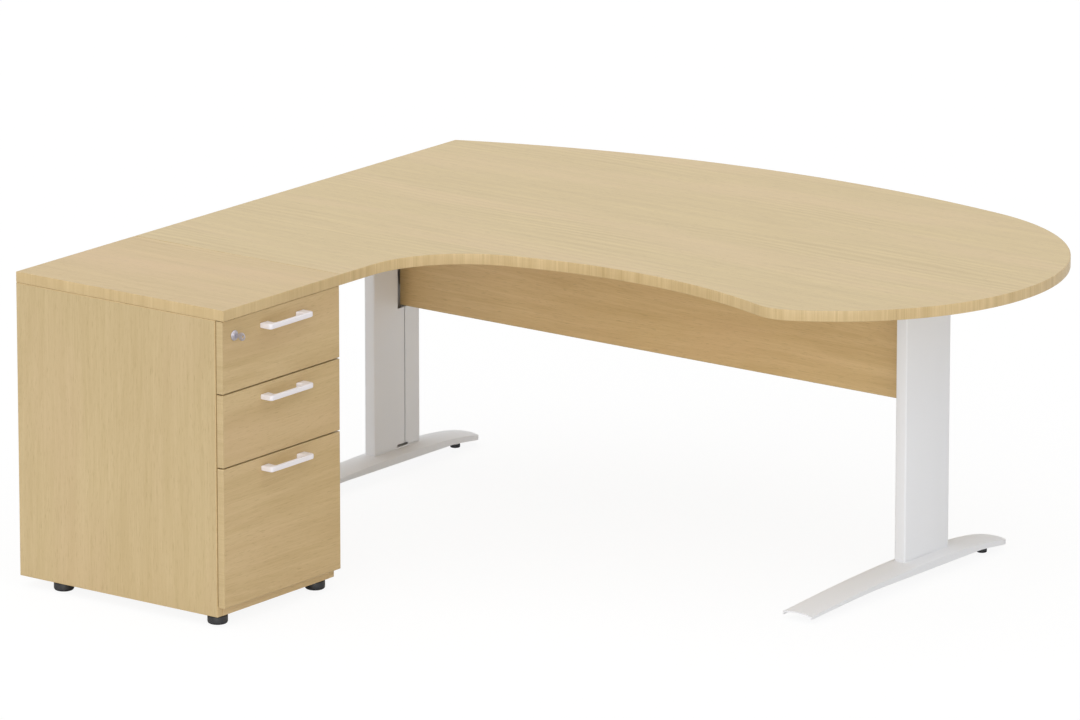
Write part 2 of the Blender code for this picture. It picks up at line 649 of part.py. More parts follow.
def build_key(turn, centre):
    """A flat key: blade in the barrel, then a round bow with a hole."""
    blade_end = FRONT_FACE + HOUSING_PROJECTION - KEY_DEPTH + LOCK_CLEARANCE
    stem = FRONT_FACE + HOUSING_PROJECTION + KEY_STEM
    half = KEY_BLADE_HEIGHT / 2.0
    bow = (stem + KEY_BOW_RADIUS * 0.8, LOCK_HEIGHT)
    turn_in = math.asin(half / KEY_BOW_RADIUS)
    outline = [(blade_end, LOCK_HEIGHT - half)]
    outline += arc(bow, KEY_BOW_RADIUS, -math.pi + turn_in, math.pi - turn_in)
    outline.append((blade_end, LOCK_HEIGHT + half))
    side = KEY_THICKNESS / 2.0
    bm = prism(outline, "y", LOCK_FROM_SIDE - side, LOCK_FROM_SIDE + side)
    key = add_piece("key", bm, NICKEL, turn, centre, smooth=True)
    hole = turned([(0.0, -side - CUT_OVERRUN), (KEY_HOLE_RADIUS, -side - CUT_OVERRUN),
                   (KEY_HOLE_RADIUS, side + CUT_OVERRUN), (0.0, side + CUT_OVERRUN)],
                  (0.0, 0.0, 0.0), "z", SMALL_ROUND_STEPS)
    for vertex in hole.verts:
        x, y, z = vertex.co
        vertex.co = Vector((bow[0] + KEY_BOW_RADIUS * 0.35 + x, LOCK_FROM_SIDE + z, bow[1] + y))
    cut(key, "key_ring_hole", hole)


def build_lock_bar(desk, pin, catches):
    """A strip with a slotted head for the crank pin and a tab in front of each drawer's catch."""
    back = bar_back()
    front = back + BAR_WIDTH
    wall = INNER_LEFT + SEAT_GAP
    slot_low = pin[2] - CRANK_PIN_RADIUS - SLOT_CLEARANCE
    slot_high = pin[2] + CRANK_PIN_RADIUS + SLOT_CLEARANCE
    head_high = slot_high + BAR_END_MARGIN
    foot = min(catches) - TAB_DROP - TAB_HEIGHT - BAR_END_MARGIN
    origin = (front, wall, foot)
    slide = new_empty("lock_bar_slide", origin, desk)
    bar = add_piece("lock_bar", box((back, wall, foot), (front, wall + BAR_SHEET, head_high)), ZINC, slide, origin)
    head_front = front - BAR_HEAD_SETBACK
    head_back = head_front - BAR_SHEET
    head = box((head_back, wall + BAR_SHEET / 2.0, slot_low - BAR_END_MARGIN),
               (head_front, LOCK_FROM_SIDE, head_high))
    join(bar, "lock_bar_head", head)
    for index, catch_low in enumerate(catches):
        tab = box((back, wall + BAR_SHEET / 2.0, catch_low - TAB_DROP - TAB_HEIGHT),
                  (back + TAB_WIDTH, wall + BAR_SHEET + TAB_LENGTH, catch_low - TAB_DROP))
        join(bar, "lock_bar_tab_%d" % (index + 1), tab)
    near = LOCK_FROM_SIDE - CRANK_RADIUS - CRANK_PIN_RADIUS - SLOT_END_CLEARANCE
    far = pin[1] + CRANK_PIN_RADIUS + SLOT_END_CLEARANCE
    slot = box((head_back - CUT_OVERRUN, near, slot_low), (head_front + CUT_OVERRUN, far, slot_high))
    cut(bar, "crank_slot", slot)

    inner = wall + BAR_SHEET + GUIDE_CLEARANCE
    outer = inner + GUIDE_SHEET
    lip, heel = front + GUIDE_CLEARANCE, back - GUIDE_CLEARANCE
    outline = [(lip + GUIDE_SHEET, wall), (lip + GUIDE_SHEET, outer), (heel - GUIDE_SHEET, outer),
               (heel - GUIDE_SHEET, wall + GUIDE_SHEET), (heel - GUIDE_FLANGE, wall + GUIDE_SHEET),
               (heel - GUIDE_FLANGE, wall), (heel, wall), (heel, inner), (lip, inner), (lip, wall)]
    low = catches[1] + GUIDE_ABOVE_TAB
    add_piece("lock_bar_guide", prism(outline, "z", low, low + GUIDE_HEIGHT), ZINC, desk)


def leg_plan(left_x, mirrored):
    """The leg column's bent sheet seen from above: a box section left open behind the cable cover."""
    radius, sheet = LEG_CORNER_RADIUS, LEG_SHEET
    inner = radius - sheet
    low, high = LEG_FRONT, LEG_FRONT + LEG_DEPTH
    wide = LEG_WIDTH
    quarter = math.pi / 2.0
    lip = COVER_START - GROOVE_WIDTH
    outline = [(wide, low + lip)]
    outline += arc((wide - radius, low + radius), radius, 0.0, -quarter)
    outline += arc((radius, low + radius), radius, -quarter, -2.0 * quarter)
    outline += arc((radius, high - radius), radius, 2.0 * quarter, quarter)
    outline += [(wide - radius - TOUCH_GAP, high), (wide - radius - TOUCH_GAP, high - sheet)]
    outline += arc((radius, high - radius), inner, quarter, 2.0 * quarter)
    outline += arc((radius, low + radius), inner, -2.0 * quarter, -quarter)
    outline += arc((wide - radius, low + radius), inner, -quarter, 0.0)
    outline.append((wide - sheet, low + lip))
    return [(left_x + (wide - x if mirrored else x), y) for x, y in outline]


def cover_plan(left_x, mirrored):
    """The cable cover from above: inner face, the column's fourth round corner and a hook behind it."""
    wide, high = LEG_WIDTH, LEG_FRONT + LEG_DEPTH
    near, centre = LEG_FRONT + COVER_START, (wide - LEG_CORNER_RADIUS, high - LEG_CORNER_RADIUS)
    inner = LEG_CORNER_RADIUS - COVER_SHEET
    hook_out = high - LEG_SHEET - TOUCH_GAP
    hook_in = hook_out - COVER_SHEET
    tuck = centre[0] - COVER_HOOK
    meet = math.asin((hook_in - centre[1]) / inner)
    outline = [(wide, near)]
    outline += arc(centre, LEG_CORNER_RADIUS, 0.0, math.pi / 2.0)
    outline += [(centre[0], hook_out), (tuck, hook_out), (tuck, hook_in)]
    outline += arc(centre, inner, meet, 0.0)
    outline += [(wide - COVER_SHEET, near + COVER_SHEET), (wide - COVER_RETURN, near + COVER_SHEET),
                (wide - COVER_RETURN, near)]
    return [(left_x + (wide - x if mirrored else x), y) for x, y in outline]


def rounded_rectangle(low_x, low_y, wide, deep, radius):
    quarter = math.pi / 2.0
    high_x, high_y = low_x + wide, low_y + deep
    points = arc((high_x - radius, low_y + radius), radius, -quarter, 0.0)
    points += arc((high_x - radius, high_y - radius), radius, 0.0, quarter)
    points += arc((low_x + radius, high_y - radius), radius, quarter, 2.0 * quarter)
    points += arc((low_x + radius, low_y + radius), radius, 2.0 * quarter, 3.0 * quarter)
    return points


def build_leg(desk, name, left_x, mirrored):
    """Column, clip-on cable cover, top arm, arched foot and two levelling glides."""
    face = left_x if mirrored else left_x + LEG_WIDTH
    inward = 1.0 if mirrored else -1.0
    middle = left_x + LEG_WIDTH / 2.0
    column = add_piece("leg_column_" + name, prism(leg_plan(left_x, mirrored), "z", LEG_BOTTOM, LEG_TOP),
                       WHITE_STEEL, desk, smooth=True)
    across = sorted((face - inward * CUT_OVERRUN, face + inward * (LEG_SHEET + LEG_CORNER_RADIUS / 2.0)))
    notch = box((across[0], LEG_FRONT + NOTCH_START, NOTCH_HEIGHT),
                (across[1], LEG_FRONT + COVER_START, LEG_TOP + CUT_OVERRUN))
    cut(column, name + "_panel_notch", notch)
    outlet = box((across[0], LEG_FRONT + CABLE_NOTCH_START, LEG_BOTTOM - CUT_OVERRUN),
                 (across[1], LEG_FRONT + COVER_START, LEG_BOTTOM + CABLE_NOTCH_HEIGHT))
    cut(column, name + "_cable_outlet", outlet)

    bm = prism(cover_plan(left_x, mirrored), "z", LEG_BOTTOM + TOUCH_GAP, NOTCH_HEIGHT)
    cover = add_piece("leg_cover_" + name, bm, WHITE_STEEL, desk, smooth=True)
    across = sorted((face - inward * CUT_OVERRUN, face + inward * (COVER_RETURN + TOUCH_GAP)))
    outlet = box((across[0], LEG_FRONT + COVER_START - CUT_OVERRUN, LEG_BOTTOM - CUT_OVERRUN),
                 (across[1], LEG_FRONT + CABLE_NOTCH_END, LEG_BOTTOM + CABLE_NOTCH_HEIGHT))
    cut(cover, name + "_cover_outlet", outlet)

    build_arm(desk, name, middle)
    build_foot(desk, name, middle)


def build_arm(desk, name, middle):
    """A downward channel under the worktop, with its ends cut back at an angle."""
    half = ARM_WIDTH / 2.0
    front, rear = LEG_FRONT - ARM_FRONT_REACH, LEG_FRONT + LEG_DEPTH + ARM_REAR_REACH
    low, high = ARM_TOP - ARM_HEIGHT, ARM_TOP
    side = [(front + ARM_END_CUT, low), (rear - ARM_END_CUT, low), (rear, high - ARM_SHEET), (rear, high),
            (front, high), (front, high - ARM_SHEET)]
    arm = add_piece("top_arm_" + name, prism(side, "x", middle - half, middle + half), WHITE_STEEL, desk)
    hollow = box((middle - half + ARM_SHEET, front - CUT_OVERRUN, low - CUT_OVERRUN),
                 (middle + half - ARM_SHEET, rear + CUT_OVERRUN, high - ARM_SHEET))
    cut(arm, name + "_arm_hollow", hollow)


def foot_sections():
    """Stations along the arched foot: distance from the tip, half width, lower edge, upper edge, crown.

    The top rises as a quarter sine from the open tip to the crest. From the tail it rises as a power of
    that sine, which makes the tail's end full and round.
    """
    tail = FOOT_LENGTH - FOOT_HALF_WIDTH
    last = math.acos((FOOT_WALL + FOOT_TAIL_OPENING) / FOOT_HALF_WIDTH)
    run = tail * np.linspace(0.0, 1.0, FOOT_RUN_STEPS + 1)
    turn = last * np.linspace(0.0, 1.0, FOOT_TAIL_STEPS + 1)[1:]
    along = np.concatenate([run, tail + FOOT_HALF_WIDTH * np.sin(turn)])
    half = np.concatenate([np.full(run.shape, FOOT_HALF_WIDTH), FOOT_HALF_WIDTH * np.cos(turn)])
    front_share = np.clip(along / FOOT_FRONT_RAMP, 0.0, 1.0)
    rear_share = np.clip((FOOT_LENGTH - along) / FOOT_REAR_RAMP, 0.0, 1.0)
    arch = 1.0 - (1.0 - np.minimum(front_share, rear_share)) ** FOOT_RAMP_POWER
    crest_front = np.clip(along / FOOT_CREST_FRONT, 0.0, 1.0)
    crest_rear = np.clip((FOOT_LENGTH - along) / FOOT_CREST_REAR, 0.0, 1.0)
    low = FOOT_TIP_LOW + FOOT_ARCH_RISE * arch
    from_tip = np.sin(math.pi / 2.0 * crest_front)
    from_tail = np.sin(math.pi / 2.0 * crest_rear) ** FOOT_TAIL_POWER
    edge = np.minimum(FOOT_TIP_EDGE + (FOOT_CREST_EDGE - FOOT_TIP_EDGE) * from_tip,
                      FOOT_TAIL_EDGE + (FOOT_CREST_EDGE - FOOT_TAIL_EDGE) * from_tail)
    crown = np.minimum(FOOT_TIP_CROWN + (FOOT_CREST_CROWN - FOOT_TIP_CROWN) * from_tip,
                       FOOT_TAIL_CROWN + (FOOT_CREST_CROWN - FOOT_TAIL_CROWN) * from_tail)
    return along, half, low, edge, crown


def crest_height(distance):
    """Height of the foot's crown at a distance from its front tip."""
    along, _, _, edge, crown = foot_sections()
    return float(np.interp(distance, along, edge + crown))


def foot_shell(middle, tip):
    """An open-bottomed crowned shell: an arch-shaped wall lofted through the stations."""
    bm = bmesh.new()
    rings = []
    spread = np.linspace(-1.0, 1.0, FOOT_CROWN_STEPS + 1)
    for along, half, low, edge, crown in zip(*foot_sections()):
        inside = half - FOOT_WALL
        outer = [(-half, low)] + [(s * half, edge + crown * (1.0 - s * s)) for s in spread] + [(half, low)]
        inner = [(inside, low)]
        inner += [(s * inside, edge + crown * (1.0 - s * s) - FOOT_WALL) for s in spread[::-1]]
        inner.append((-inside, low))
        rings.append([bm.verts.new((middle + x, tip + along, z)) for x, z in outer + inner])
    count = len(rings[0])
    for first, second in zip(rings, rings[1:]):
        for k in range(count):
            bm.faces.new((first[k], first[(k + 1) % count], second[(k + 1) % count], second[k]))
    bm.faces.new(rings[0])
    bm.faces.new(rings[-1][::-1])
    return bm


def foot_rib(middle, tip, share):
    """A rib under the foot's crown, from its open front end back, that follows the crown and the arch."""
    bm = bmesh.new()
    along, half, low, edge, crown = foot_sections()
    x = middle + share * FOOT_HALF_WIDTH
    rings = []
    for distance in np.linspace(FOOT_RIB_START, FOOT_RIB_END, FOOT_RIB_STEPS + 1):
        top = np.interp(distance, along, edge + crown * (1.0 - share * share)) - FOOT_WALL / 2.0
        bottom = np.interp(distance, along, low) + FOOT_RIB_RISE
        corners = ((-1, bottom), (1, bottom), (1, top), (-1, top))
        rings.append([bm.verts.new((x + side * FOOT_RIB_SHEET / 2.0, tip + distance, z)) for side, z in corners])
    for first, second in zip(rings, rings[1:]):
        for k in range(4):
            bm.faces.new((first[k], first[(k + 1) % 4], second[(k + 1) % 4], second[k]))
    bm.faces.new(rings[0])
    bm.faces.new(rings[-1][::-1])
    return bm


def build_foot(desk, name, middle):
    tip = LEG_FRONT - FOOT_AHEAD
    foot = add_piece("foot_" + name, foot_shell(middle, tip), WHITE_STEEL, desk, smooth=True)
    plan = rounded_rectangle(middle - LEG_WIDTH / 2.0, LEG_FRONT, LEG_WIDTH, LEG_DEPTH, LEG_CORNER_RADIUS)
    pad = prism(plan, "z", FOOT_SEAT_HEIGHT - FOOT_PAD_DEPTH, FOOT_SEAT_HEIGHT)
    join(foot, name + "_column_pad", pad)
    boss_low = GLIDE_HEIGHT + SEAT_GAP
    stem_top = GLIDE_HEIGHT + GLIDE_STEM_HEIGHT
    profile = [(0.0, 0.0)] + rounded_corner(GLIDE_RADIUS, GLIDE_ROUNDING)
    profile += [(GLIDE_RADIUS, GLIDE_HEIGHT), (STEM_RADIUS, GLIDE_HEIGHT), (STEM_RADIUS, stem_top), (0.0, stem_top)]
    ends = (("front", GLIDE_FRONT_INSET), ("rear", FOOT_LENGTH - GLIDE_REAR_INSET))
    for end, distance in ends:
        boss_top = crest_height(distance) - FOOT_WALL / 2.0
        join(foot, "%s_%s_boss" % (name, end),
             rod(GLIDE_BOSS_RADIUS, boss_low, boss_top, (middle, tip + distance, 0.0), "z", SMALL_ROUND_STEPS))
    for index, share in enumerate(FOOT_RIB_SHARES):
        join(foot, "%s_rib_%d" % (name, index + 1), foot_rib(middle, tip, share))
    for end, distance in ends:
        place = (middle, tip + distance, 0.0)
        cut(foot, "%s_%s_screw_hole" % (name, end),
            rod(STEM_RADIUS + STEM_CLEARANCE, boss_low - CUT_OVERRUN, stem_top + STEM_CLEARANCE, place, "z",
                SMALL_ROUND_STEPS))
        add_piece("glide_%s_%s" % (name, end), turned(profile, place, "z"), BLACK_PLASTIC, desk, place, smooth=True)


def angle_piece(desk, name, low, high, sheet, corner):
    """An angle bracket: a box between two corners, hollowed to leave two flanges meeting at a corner.

    corner gives, for each axis, -1 or 1 for the side that keeps a flange, and 0 for the free axis.
    """
    bracket = add_piece(name, box(low, high), ZINC, desk)
    cut_low, cut_high = list(low), list(high)
    for k in range(3):
        cut_low[k] = low[k] + sheet if corner[k] == -1 else low[k] - CUT_OVERRUN
        cut_high[k] = high[k] - sheet if corner[k] == 1 else high[k] + CUT_OVERRUN
    cut(bracket, name + "_hollow", box(cut_low, cut_high))
    return bracket


def build_modesty(desk):
    """The panel between the legs, its end brackets inside the columns and its brackets to the top."""
    near = LEG_FRONT + MODESTY_SETBACK
    far = near + PANEL_THICKNESS
    left = LEFT_LEG_X + LEG_WIDTH - MODESTY_ENTRY
    right = RIGHT_LEG_X + MODESTY_ENTRY
    top = MODESTY_TOP
    soften(add_piece("modesty_panel", box((left, near, MODESTY_BOTTOM), (right, far, top)), OAK, desk),
           ARRIS_RADIUS)

    low_z = top - END_BRACKET_DROP - END_BRACKET_HEIGHT
    high_z = top - END_BRACKET_DROP
    back = far + SEAT_GAP
    wall = LEFT_LEG_X + LEG_SHEET + SEAT_GAP
    angle_piece(desk, "end_bracket_left", (wall, back, low_z),
                (wall + END_BRACKET_FLANGE, back + END_BRACKET_FLANGE, high_z), BRACKET_SHEET, (-1, -1, 0))
    wall = RIGHT_LEG_X + LEG_WIDTH - LEG_SHEET - SEAT_GAP
    angle_piece(desk, "end_bracket_right", (wall - END_BRACKET_FLANGE, back, low_z),
                (wall, back + END_BRACKET_FLANGE, high_z), BRACKET_SHEET, (1, -1, 0))

    for side, share in zip(("left", "right"), TOP_BRACKET_SHARES):
        start = left + (right - left) * share
        angle_piece(desk, "top_bracket_" + side, (start, back, UNDERSIDE - SEAT_GAP - TOP_BRACKET_FLANGE),
                    (start + TOP_BRACKET_LENGTH, back + TOP_BRACKET_FLANGE, UNDERSIDE - SEAT_GAP),
                    BRACKET_SHEET, (0, -1, 1))

    for side, share in zip(("rear", "front"), JOIN_BRACKET_SHARES):
        start = BACK_LINE + (PEDESTAL_DEPTH - JOIN_BRACKET_LENGTH) * share
        angle_piece(desk, "joining_bracket_" + side,
                    (start, PEDESTAL_WIDTH + SEAT_GAP, UNDERSIDE - SEAT_GAP - JOIN_BRACKET_FLANGE),
                    (start + JOIN_BRACKET_LENGTH, PEDESTAL_WIDTH + SEAT_GAP + JOIN_BRACKET_FLANGE,
                     UNDERSIDE - SEAT_GAP), BRACKET_SHEET, (0, -1, 1))


def build_desk():
    for item in list(bpy.data.objects):
        bpy.data.objects.remove(item, do_unlink=True)
    centre_x = (BACK_LINE + WORKTOP_REACH) / 2.0
    desk = new_empty("desk", (-centre_x, -overall_depth() / 2.0, 0.0))
    build_tops(desk)
    build_carcass(desk)
    build_pedestal_feet(desk)
    carriers, catches = build_drawers(desk)
    build_lock(desk, carriers[0], catches)
    build_leg(desk, "left", LEFT_LEG_X, mirrored=False)
    build_leg(desk, "right", RIGHT_LEG_X, mirrored=True)
    build_modesty(desk)


build_desk()
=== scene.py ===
import json
import math
import bmesh
import bpy
import numpy as np
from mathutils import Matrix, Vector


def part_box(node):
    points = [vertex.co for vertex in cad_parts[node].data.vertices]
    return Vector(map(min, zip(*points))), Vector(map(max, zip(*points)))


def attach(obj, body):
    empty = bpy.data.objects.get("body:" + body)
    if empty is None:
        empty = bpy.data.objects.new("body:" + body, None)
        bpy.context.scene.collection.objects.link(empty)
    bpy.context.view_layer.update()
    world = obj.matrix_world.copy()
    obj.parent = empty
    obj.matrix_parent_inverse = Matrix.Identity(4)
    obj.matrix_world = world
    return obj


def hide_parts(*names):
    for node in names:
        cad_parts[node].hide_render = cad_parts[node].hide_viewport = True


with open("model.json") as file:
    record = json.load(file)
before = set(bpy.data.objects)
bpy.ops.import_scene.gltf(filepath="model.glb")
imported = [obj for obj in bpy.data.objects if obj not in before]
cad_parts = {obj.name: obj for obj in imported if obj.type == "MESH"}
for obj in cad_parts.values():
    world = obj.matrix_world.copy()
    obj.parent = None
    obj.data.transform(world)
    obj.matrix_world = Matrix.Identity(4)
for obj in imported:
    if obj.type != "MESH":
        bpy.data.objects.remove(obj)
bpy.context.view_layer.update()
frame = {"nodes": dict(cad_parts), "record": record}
nodes = frame["nodes"]
bodyOf = {node: body for body, members in frame["record"]["behaviour"]["bodies"].items() for node in members}
slotOf = {part["node"]: part["material_slot"] for part in frame["record"]["subparts"]}
corner = np.array([-0.350, -0.9165])  # the pedestal's near front corner on the floor; outlines start there
print("frame loaded:", len(nodes), "nodes")


def middleOf(node):
    return np.mean(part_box(node), axis=0)


# Gives a shader node its inputs; each is a socket to link or a constant
def feed(tree, node, inputs):
    for key, value in inputs.items():
        if isinstance(value, bpy.types.NodeSocket):
            tree.links.new(value, node.inputs[key])
        else:
            node.inputs[key].default_value = value
    return node


def addNode(tree, kind, inputs=None, **settings):
    node = tree.nodes.new(kind)
    for key, value in settings.items():
        setattr(node, key, value)
    return feed(tree, node, inputs or {})


def mathNode(tree, operation, first, second=0.0, clamp=False):
    values = {0: first, 1: second}
    return addNode(tree, "ShaderNodeMath", values, operation=operation, use_clamp=clamp).outputs[0]


def times(tree, first, second):
    return mathNode(tree, "MULTIPLY", first, second)


def plus(tree, first, second, clamp=False):
    return mathNode(tree, "ADD", first, second, clamp)


# (value - 0.5) times amount, for adding a texture as a change of tone
def swing(tree, value, amount):
    return times(tree, mathNode(tree, "SUBTRACT", value, 0.5), amount)


# A vector times a scale of its own on each axis
def scaled(tree, vector, scale):
    return addNode(tree, "ShaderNodeVectorMath", {0: vector, 1: scale}, operation="MULTIPLY").outputs[0]


# A colour made lighter or darker by one factor
def shaded(tree, colour, shade):
    values = {0: colour, "Scale": shade}
    return addNode(tree, "ShaderNodeVectorMath", values, operation="SCALE").outputs[0]


def noise(tree, vector, scale=1.0, detail=2.0, roughness=0.5):
    values = {"Vector": vector, "Scale": scale, "Detail": detail, "Roughness": roughness}
    return addNode(tree, "ShaderNodeTexNoise", values).outputs["Fac"]


# Noise with a scale of its own on each axis, so that it is drawn out along the smallest
def drawnNoise(tree, vector, scale, detail=2.0, roughness=0.5):
    return noise(tree, scaled(tree, vector, scale), 1.0, detail, roughness)


# 0 below low, 1 above high, with a soft step between
def softStep(tree, value, low, high):
    values = {"Value": value, "From Min": low, "From Max": high, "To Min": 0.0, "To Max": 1.0}
    return addNode(tree, "ShaderNodeMapRange", values, interpolation_type="SMOOTHSTEP").outputs["Result"]


def mixColour(tree, factor, first, second):
    values = {"Factor": factor, 6: first, 7: second}
    return addNode(tree, "ShaderNodeMix", values, data_type="RGBA").outputs[2]


socketOf = {1: "NodeSocketFloat", 3: "NodeSocketVector", 4: "NodeSocketColor"}


# A shader group that reads a place and its own inputs. An input's socket follows how many values it has, and
# of the outputs only Color is a colour.
def newGroup(name, outputs, **inputs):
    tree = bpy.data.node_groups.new(name, "ShaderNodeTree")
    for label, default in {"Vector": (0.0, 0.0, 0.0), **inputs}.items():
        socket = tree.interface.new_socket(label, in_out="INPUT", socket_type=socketOf[np.size(default)])
        socket.default_value = default
    for label in outputs:
        kind = socketOf[4 if label == "Color" else 1]
        tree.interface.new_socket(label, in_out="OUTPUT", socket_type=kind)
    return tree, tree.nodes.new("NodeGroupInput").outputs, tree.nodes.new("NodeGroupOutput")


# Each noise is (counts per metre on X, Y and Z, detail, roughness); a range is where a soft step runs
oakPrint = {"drift": ((0.9, 3.2, 3.2), 1.0), "bend": 0.10,
            "streaks": ((2.3, 42.0, 42.0), 4.0, 0.62), "streakSwing": 1.5,
            "lines": ((5.0, 300.0, 300.0), 3.0, 0.7), "lineHeight": 0.6,
            "arches": (1.3, 11.0, 11.0), "archScale": 1.2, "archBend": 7.0, "archSwing": 0.55,
            "patches": ((1.1, 5.0, 5.0), 1.0), "patchRange": (0.42, 0.66),
            "blush": ((1.4, 6.5, 6.5), 2.0), "blushRange": (0.46, 0.70),
            "pores": ((38.0, 900.0, 900.0), 1.0), "poreRange": (0.60, 0.74), "poreMask": 0.32,
            "poreColour": (0.36, 0.235, 0.10, 1.0), "poreHeight": 0.5, "gloss": 0.36, "glossSwing": 0.10}


# Oak print with its grain along X: broad streaks, fine lines, a cathedral figure in patches, pores and
# a slow change between a yellow and a pinker tone
def makeGrainGroup():
    p = oakPrint
    tree, given, made = newGroup(
        "oakGrain", ("Color", "Height", "Gloss"), Light=(0.676, 0.505, 0.256, 1.0),
        Dark=(0.562, 0.399, 0.183, 1.0), Blush=(0.676, 0.479, 0.260, 1.0), Streaks=1.0, Lines=1.0, Figure=1.0,
        Pores=1.0, Patches=0.75)
    place = given["Vector"]
    drift = swing(tree, drawnNoise(tree, place, *p["drift"]), p["bend"])
    shift = addNode(tree, "ShaderNodeCombineXYZ", {"Y": drift, "Z": drift}).outputs[0]
    bent = addNode(tree, "ShaderNodeVectorMath", {0: place, 1: shift}, operation="ADD").outputs[0]
    streaks = drawnNoise(tree, bent, *p["streaks"])
    lines = drawnNoise(tree, bent, *p["lines"])
    arches = addNode(tree, "ShaderNodeTexWave", {
        "Vector": scaled(tree, bent, p["arches"]), "Scale": p["archScale"], "Distortion": p["archBend"],
        "Detail": 2.0, "Detail Scale": 0.9, "Detail Roughness": 0.6},
        wave_type="BANDS", bands_direction="Y").outputs["Fac"]
    patch = softStep(tree, drawnNoise(tree, place, *p["patches"]), *p["patchRange"])
    arches = times(tree, swing(tree, arches, p["archSwing"]), patch)
    pores = softStep(tree, drawnNoise(tree, bent, *p["pores"]), *p["poreRange"])
    tone = plus(tree, swing(tree, streaks, times(tree, given["Streaks"], p["streakSwing"])),
                swing(tree, lines, given["Lines"]))
    tone = plus(tree, tone, times(tree, arches, given["Figure"]))
    tone = plus(tree, tone, 0.5, clamp=True)
    body = mixColour(tree, tone, given["Dark"], given["Light"])
    blush = softStep(tree, drawnNoise(tree, place, *p["blush"]), *p["blushRange"])
    body = mixColour(tree, times(tree, blush, given["Patches"]), body, given["Blush"])
    poreMask = times(tree, pores, times(tree, given["Pores"], p["poreMask"]))
    sunk = times(tree, pores, p["poreHeight"])
    feed(tree, made, {"Color": mixColour(tree, poreMask, body, p["poreColour"]),
                      "Height": mathNode(tree, "SUBTRACT", times(tree, lines, p["lineHeight"]), sunk),
                      "Gloss": plus(tree, times(tree, streaks, p["glossSwing"]), p["gloss"])})
    return tree


# Noises as above, along the strip and up it, with how far each one swings the tone
stripePrint = {"broad": ((42.0, 1.5, 1.0), 3.0, 0.65), "fine": ((330.0, 7.0, 1.0), 2.0, 0.6),
               "slow": ((5.0, 0.5, 1.0), 1.0), "broadSwing": 1.9, "fineSwing": 1.2, "slowSwing": 0.9,
               "middle": 0.60}


# Edging: the print cut into short upright stripes, read from the strip's own length and height
def makeStripeGroup():
    p = stripePrint
    tree, given, made = newGroup("edgingStripes", ("Color", "Height"), Light=(0.69, 0.52, 0.275, 1.0),
                                 Dark=(0.48, 0.335, 0.15, 1.0), Contrast=1.0)
    broad, fine, slow = [drawnNoise(tree, given["Vector"], *p[key]) for key in ("broad", "fine", "slow")]
    tone = plus(tree, swing(tree, broad, p["broadSwing"]), swing(tree, fine, p["fineSwing"]))
    tone = plus(tree, tone, swing(tree, slow, p["slowSwing"]))
    tone = plus(tree, times(tree, tone, given["Contrast"]), p["middle"], clamp=True)
    feed(tree, made, {"Color": mixColour(tree, tone, given["Dark"], given["Light"]), "Height": fine})
    return tree


coatLook = {"cloudScale": 3.0, "peelHeight": 0.6, "grainHeight": 0.4, "shade": 0.955, "shadeSwing": 0.05,
            "glossSwing": 0.12}


# Sprayed coat: orange peel and fine grain in the height and gloss, with a faint change of shade
def makeCoatGroup():
    p = coatLook
    tree, given, made = newGroup("sprayedCoat", ("Color", "Height", "Gloss"), Colour=(0.8, 0.8, 0.8, 1.0),
                                 Peel=260.0, Grain=2400.0, Gloss=0.34)
    peel = noise(tree, given["Vector"], given["Peel"])
    grain = noise(tree, given["Vector"], given["Grain"], detail=1.0)
    cloud = noise(tree, given["Vector"], p["cloudScale"])
    shade = plus(tree, times(tree, cloud, p["shadeSwing"]), p["shade"])
    height = plus(tree, times(tree, peel, p["peelHeight"]), times(tree, grain, p["grainHeight"]))
    feed(tree, made, {"Color": shaded(tree, given["Colour"], shade), "Height": height,
                      "Gloss": plus(tree, times(tree, peel, p["glossSwing"]), given["Gloss"])})
    return tree


plateLook = {"shade": 0.84, "shadeSwing": 0.24, "lineGloss": 0.14, "spotGloss": 0.16}


# Plated steel: brushed lines and a soft spangle in colour and gloss
def makePlateGroup():
    p = plateLook
    tree, given, made = newGroup("platedSteel", ("Color", "Height", "Gloss"), Colour=(0.7, 0.7, 0.7, 1.0),
                                 Brush=(40.0, 40.0, 900.0), Spangle=60.0, Gloss=0.18)
    lines = drawnNoise(tree, given["Vector"], given["Brush"])
    spots = noise(tree, given["Vector"], given["Spangle"])
    shade = plus(tree, times(tree, spots, p["shadeSwing"]), p["shade"])
    gloss = plus(tree, times(tree, lines, p["lineGloss"]), times(tree, spots, p["spotGloss"]))
    feed(tree, made, {"Color": shaded(tree, given["Colour"], shade), "Height": lines,
                      "Gloss": plus(tree, gloss, given["Gloss"])})
    return tree


groups = {"grain": makeGrainGroup(), "stripes": makeStripeGroup(), "coat": makeCoatGroup(),
          "plate": makePlateGroup()}
grainTurn = {"x": (0.0, 0.0, 0.0), "y": (0.0, 0.0, -math.pi / 2), "z": (0.0, math.pi / 2, 0.0)}
plain = {"roughness": 0.42, "relief": 0.0001, "oakBump": 0.25}  # what finishes share


# A material from one group: its colour, gloss and height go to the shader, with the finish's own values
def finish(name, group, vector, bump, metallic=0.0, **values):
    material = bpy.data.materials.new(name)
    material.use_nodes = True
    tree = material.node_tree
    inputs = {"Vector": vector(tree), **values}
    look = addNode(tree, "ShaderNodeGroup", inputs, node_tree=groups[group]).outputs
    relief = {"Strength": bump, "Distance": plain["relief"], "Height": look["Height"]}
    feed(tree, tree.nodes["Principled BSDF"], {
        "Base Color": look["Color"], "Roughness": look["Gloss"] if "Gloss" in look else plain["roughness"],
        "Metallic": metallic, "Normal": addNode(tree, "ShaderNodeBump", relief).outputs["Normal"]})
    return material


def objectPlace(tree):
    return addNode(tree, "ShaderNodeTexCoord").outputs["Object"]


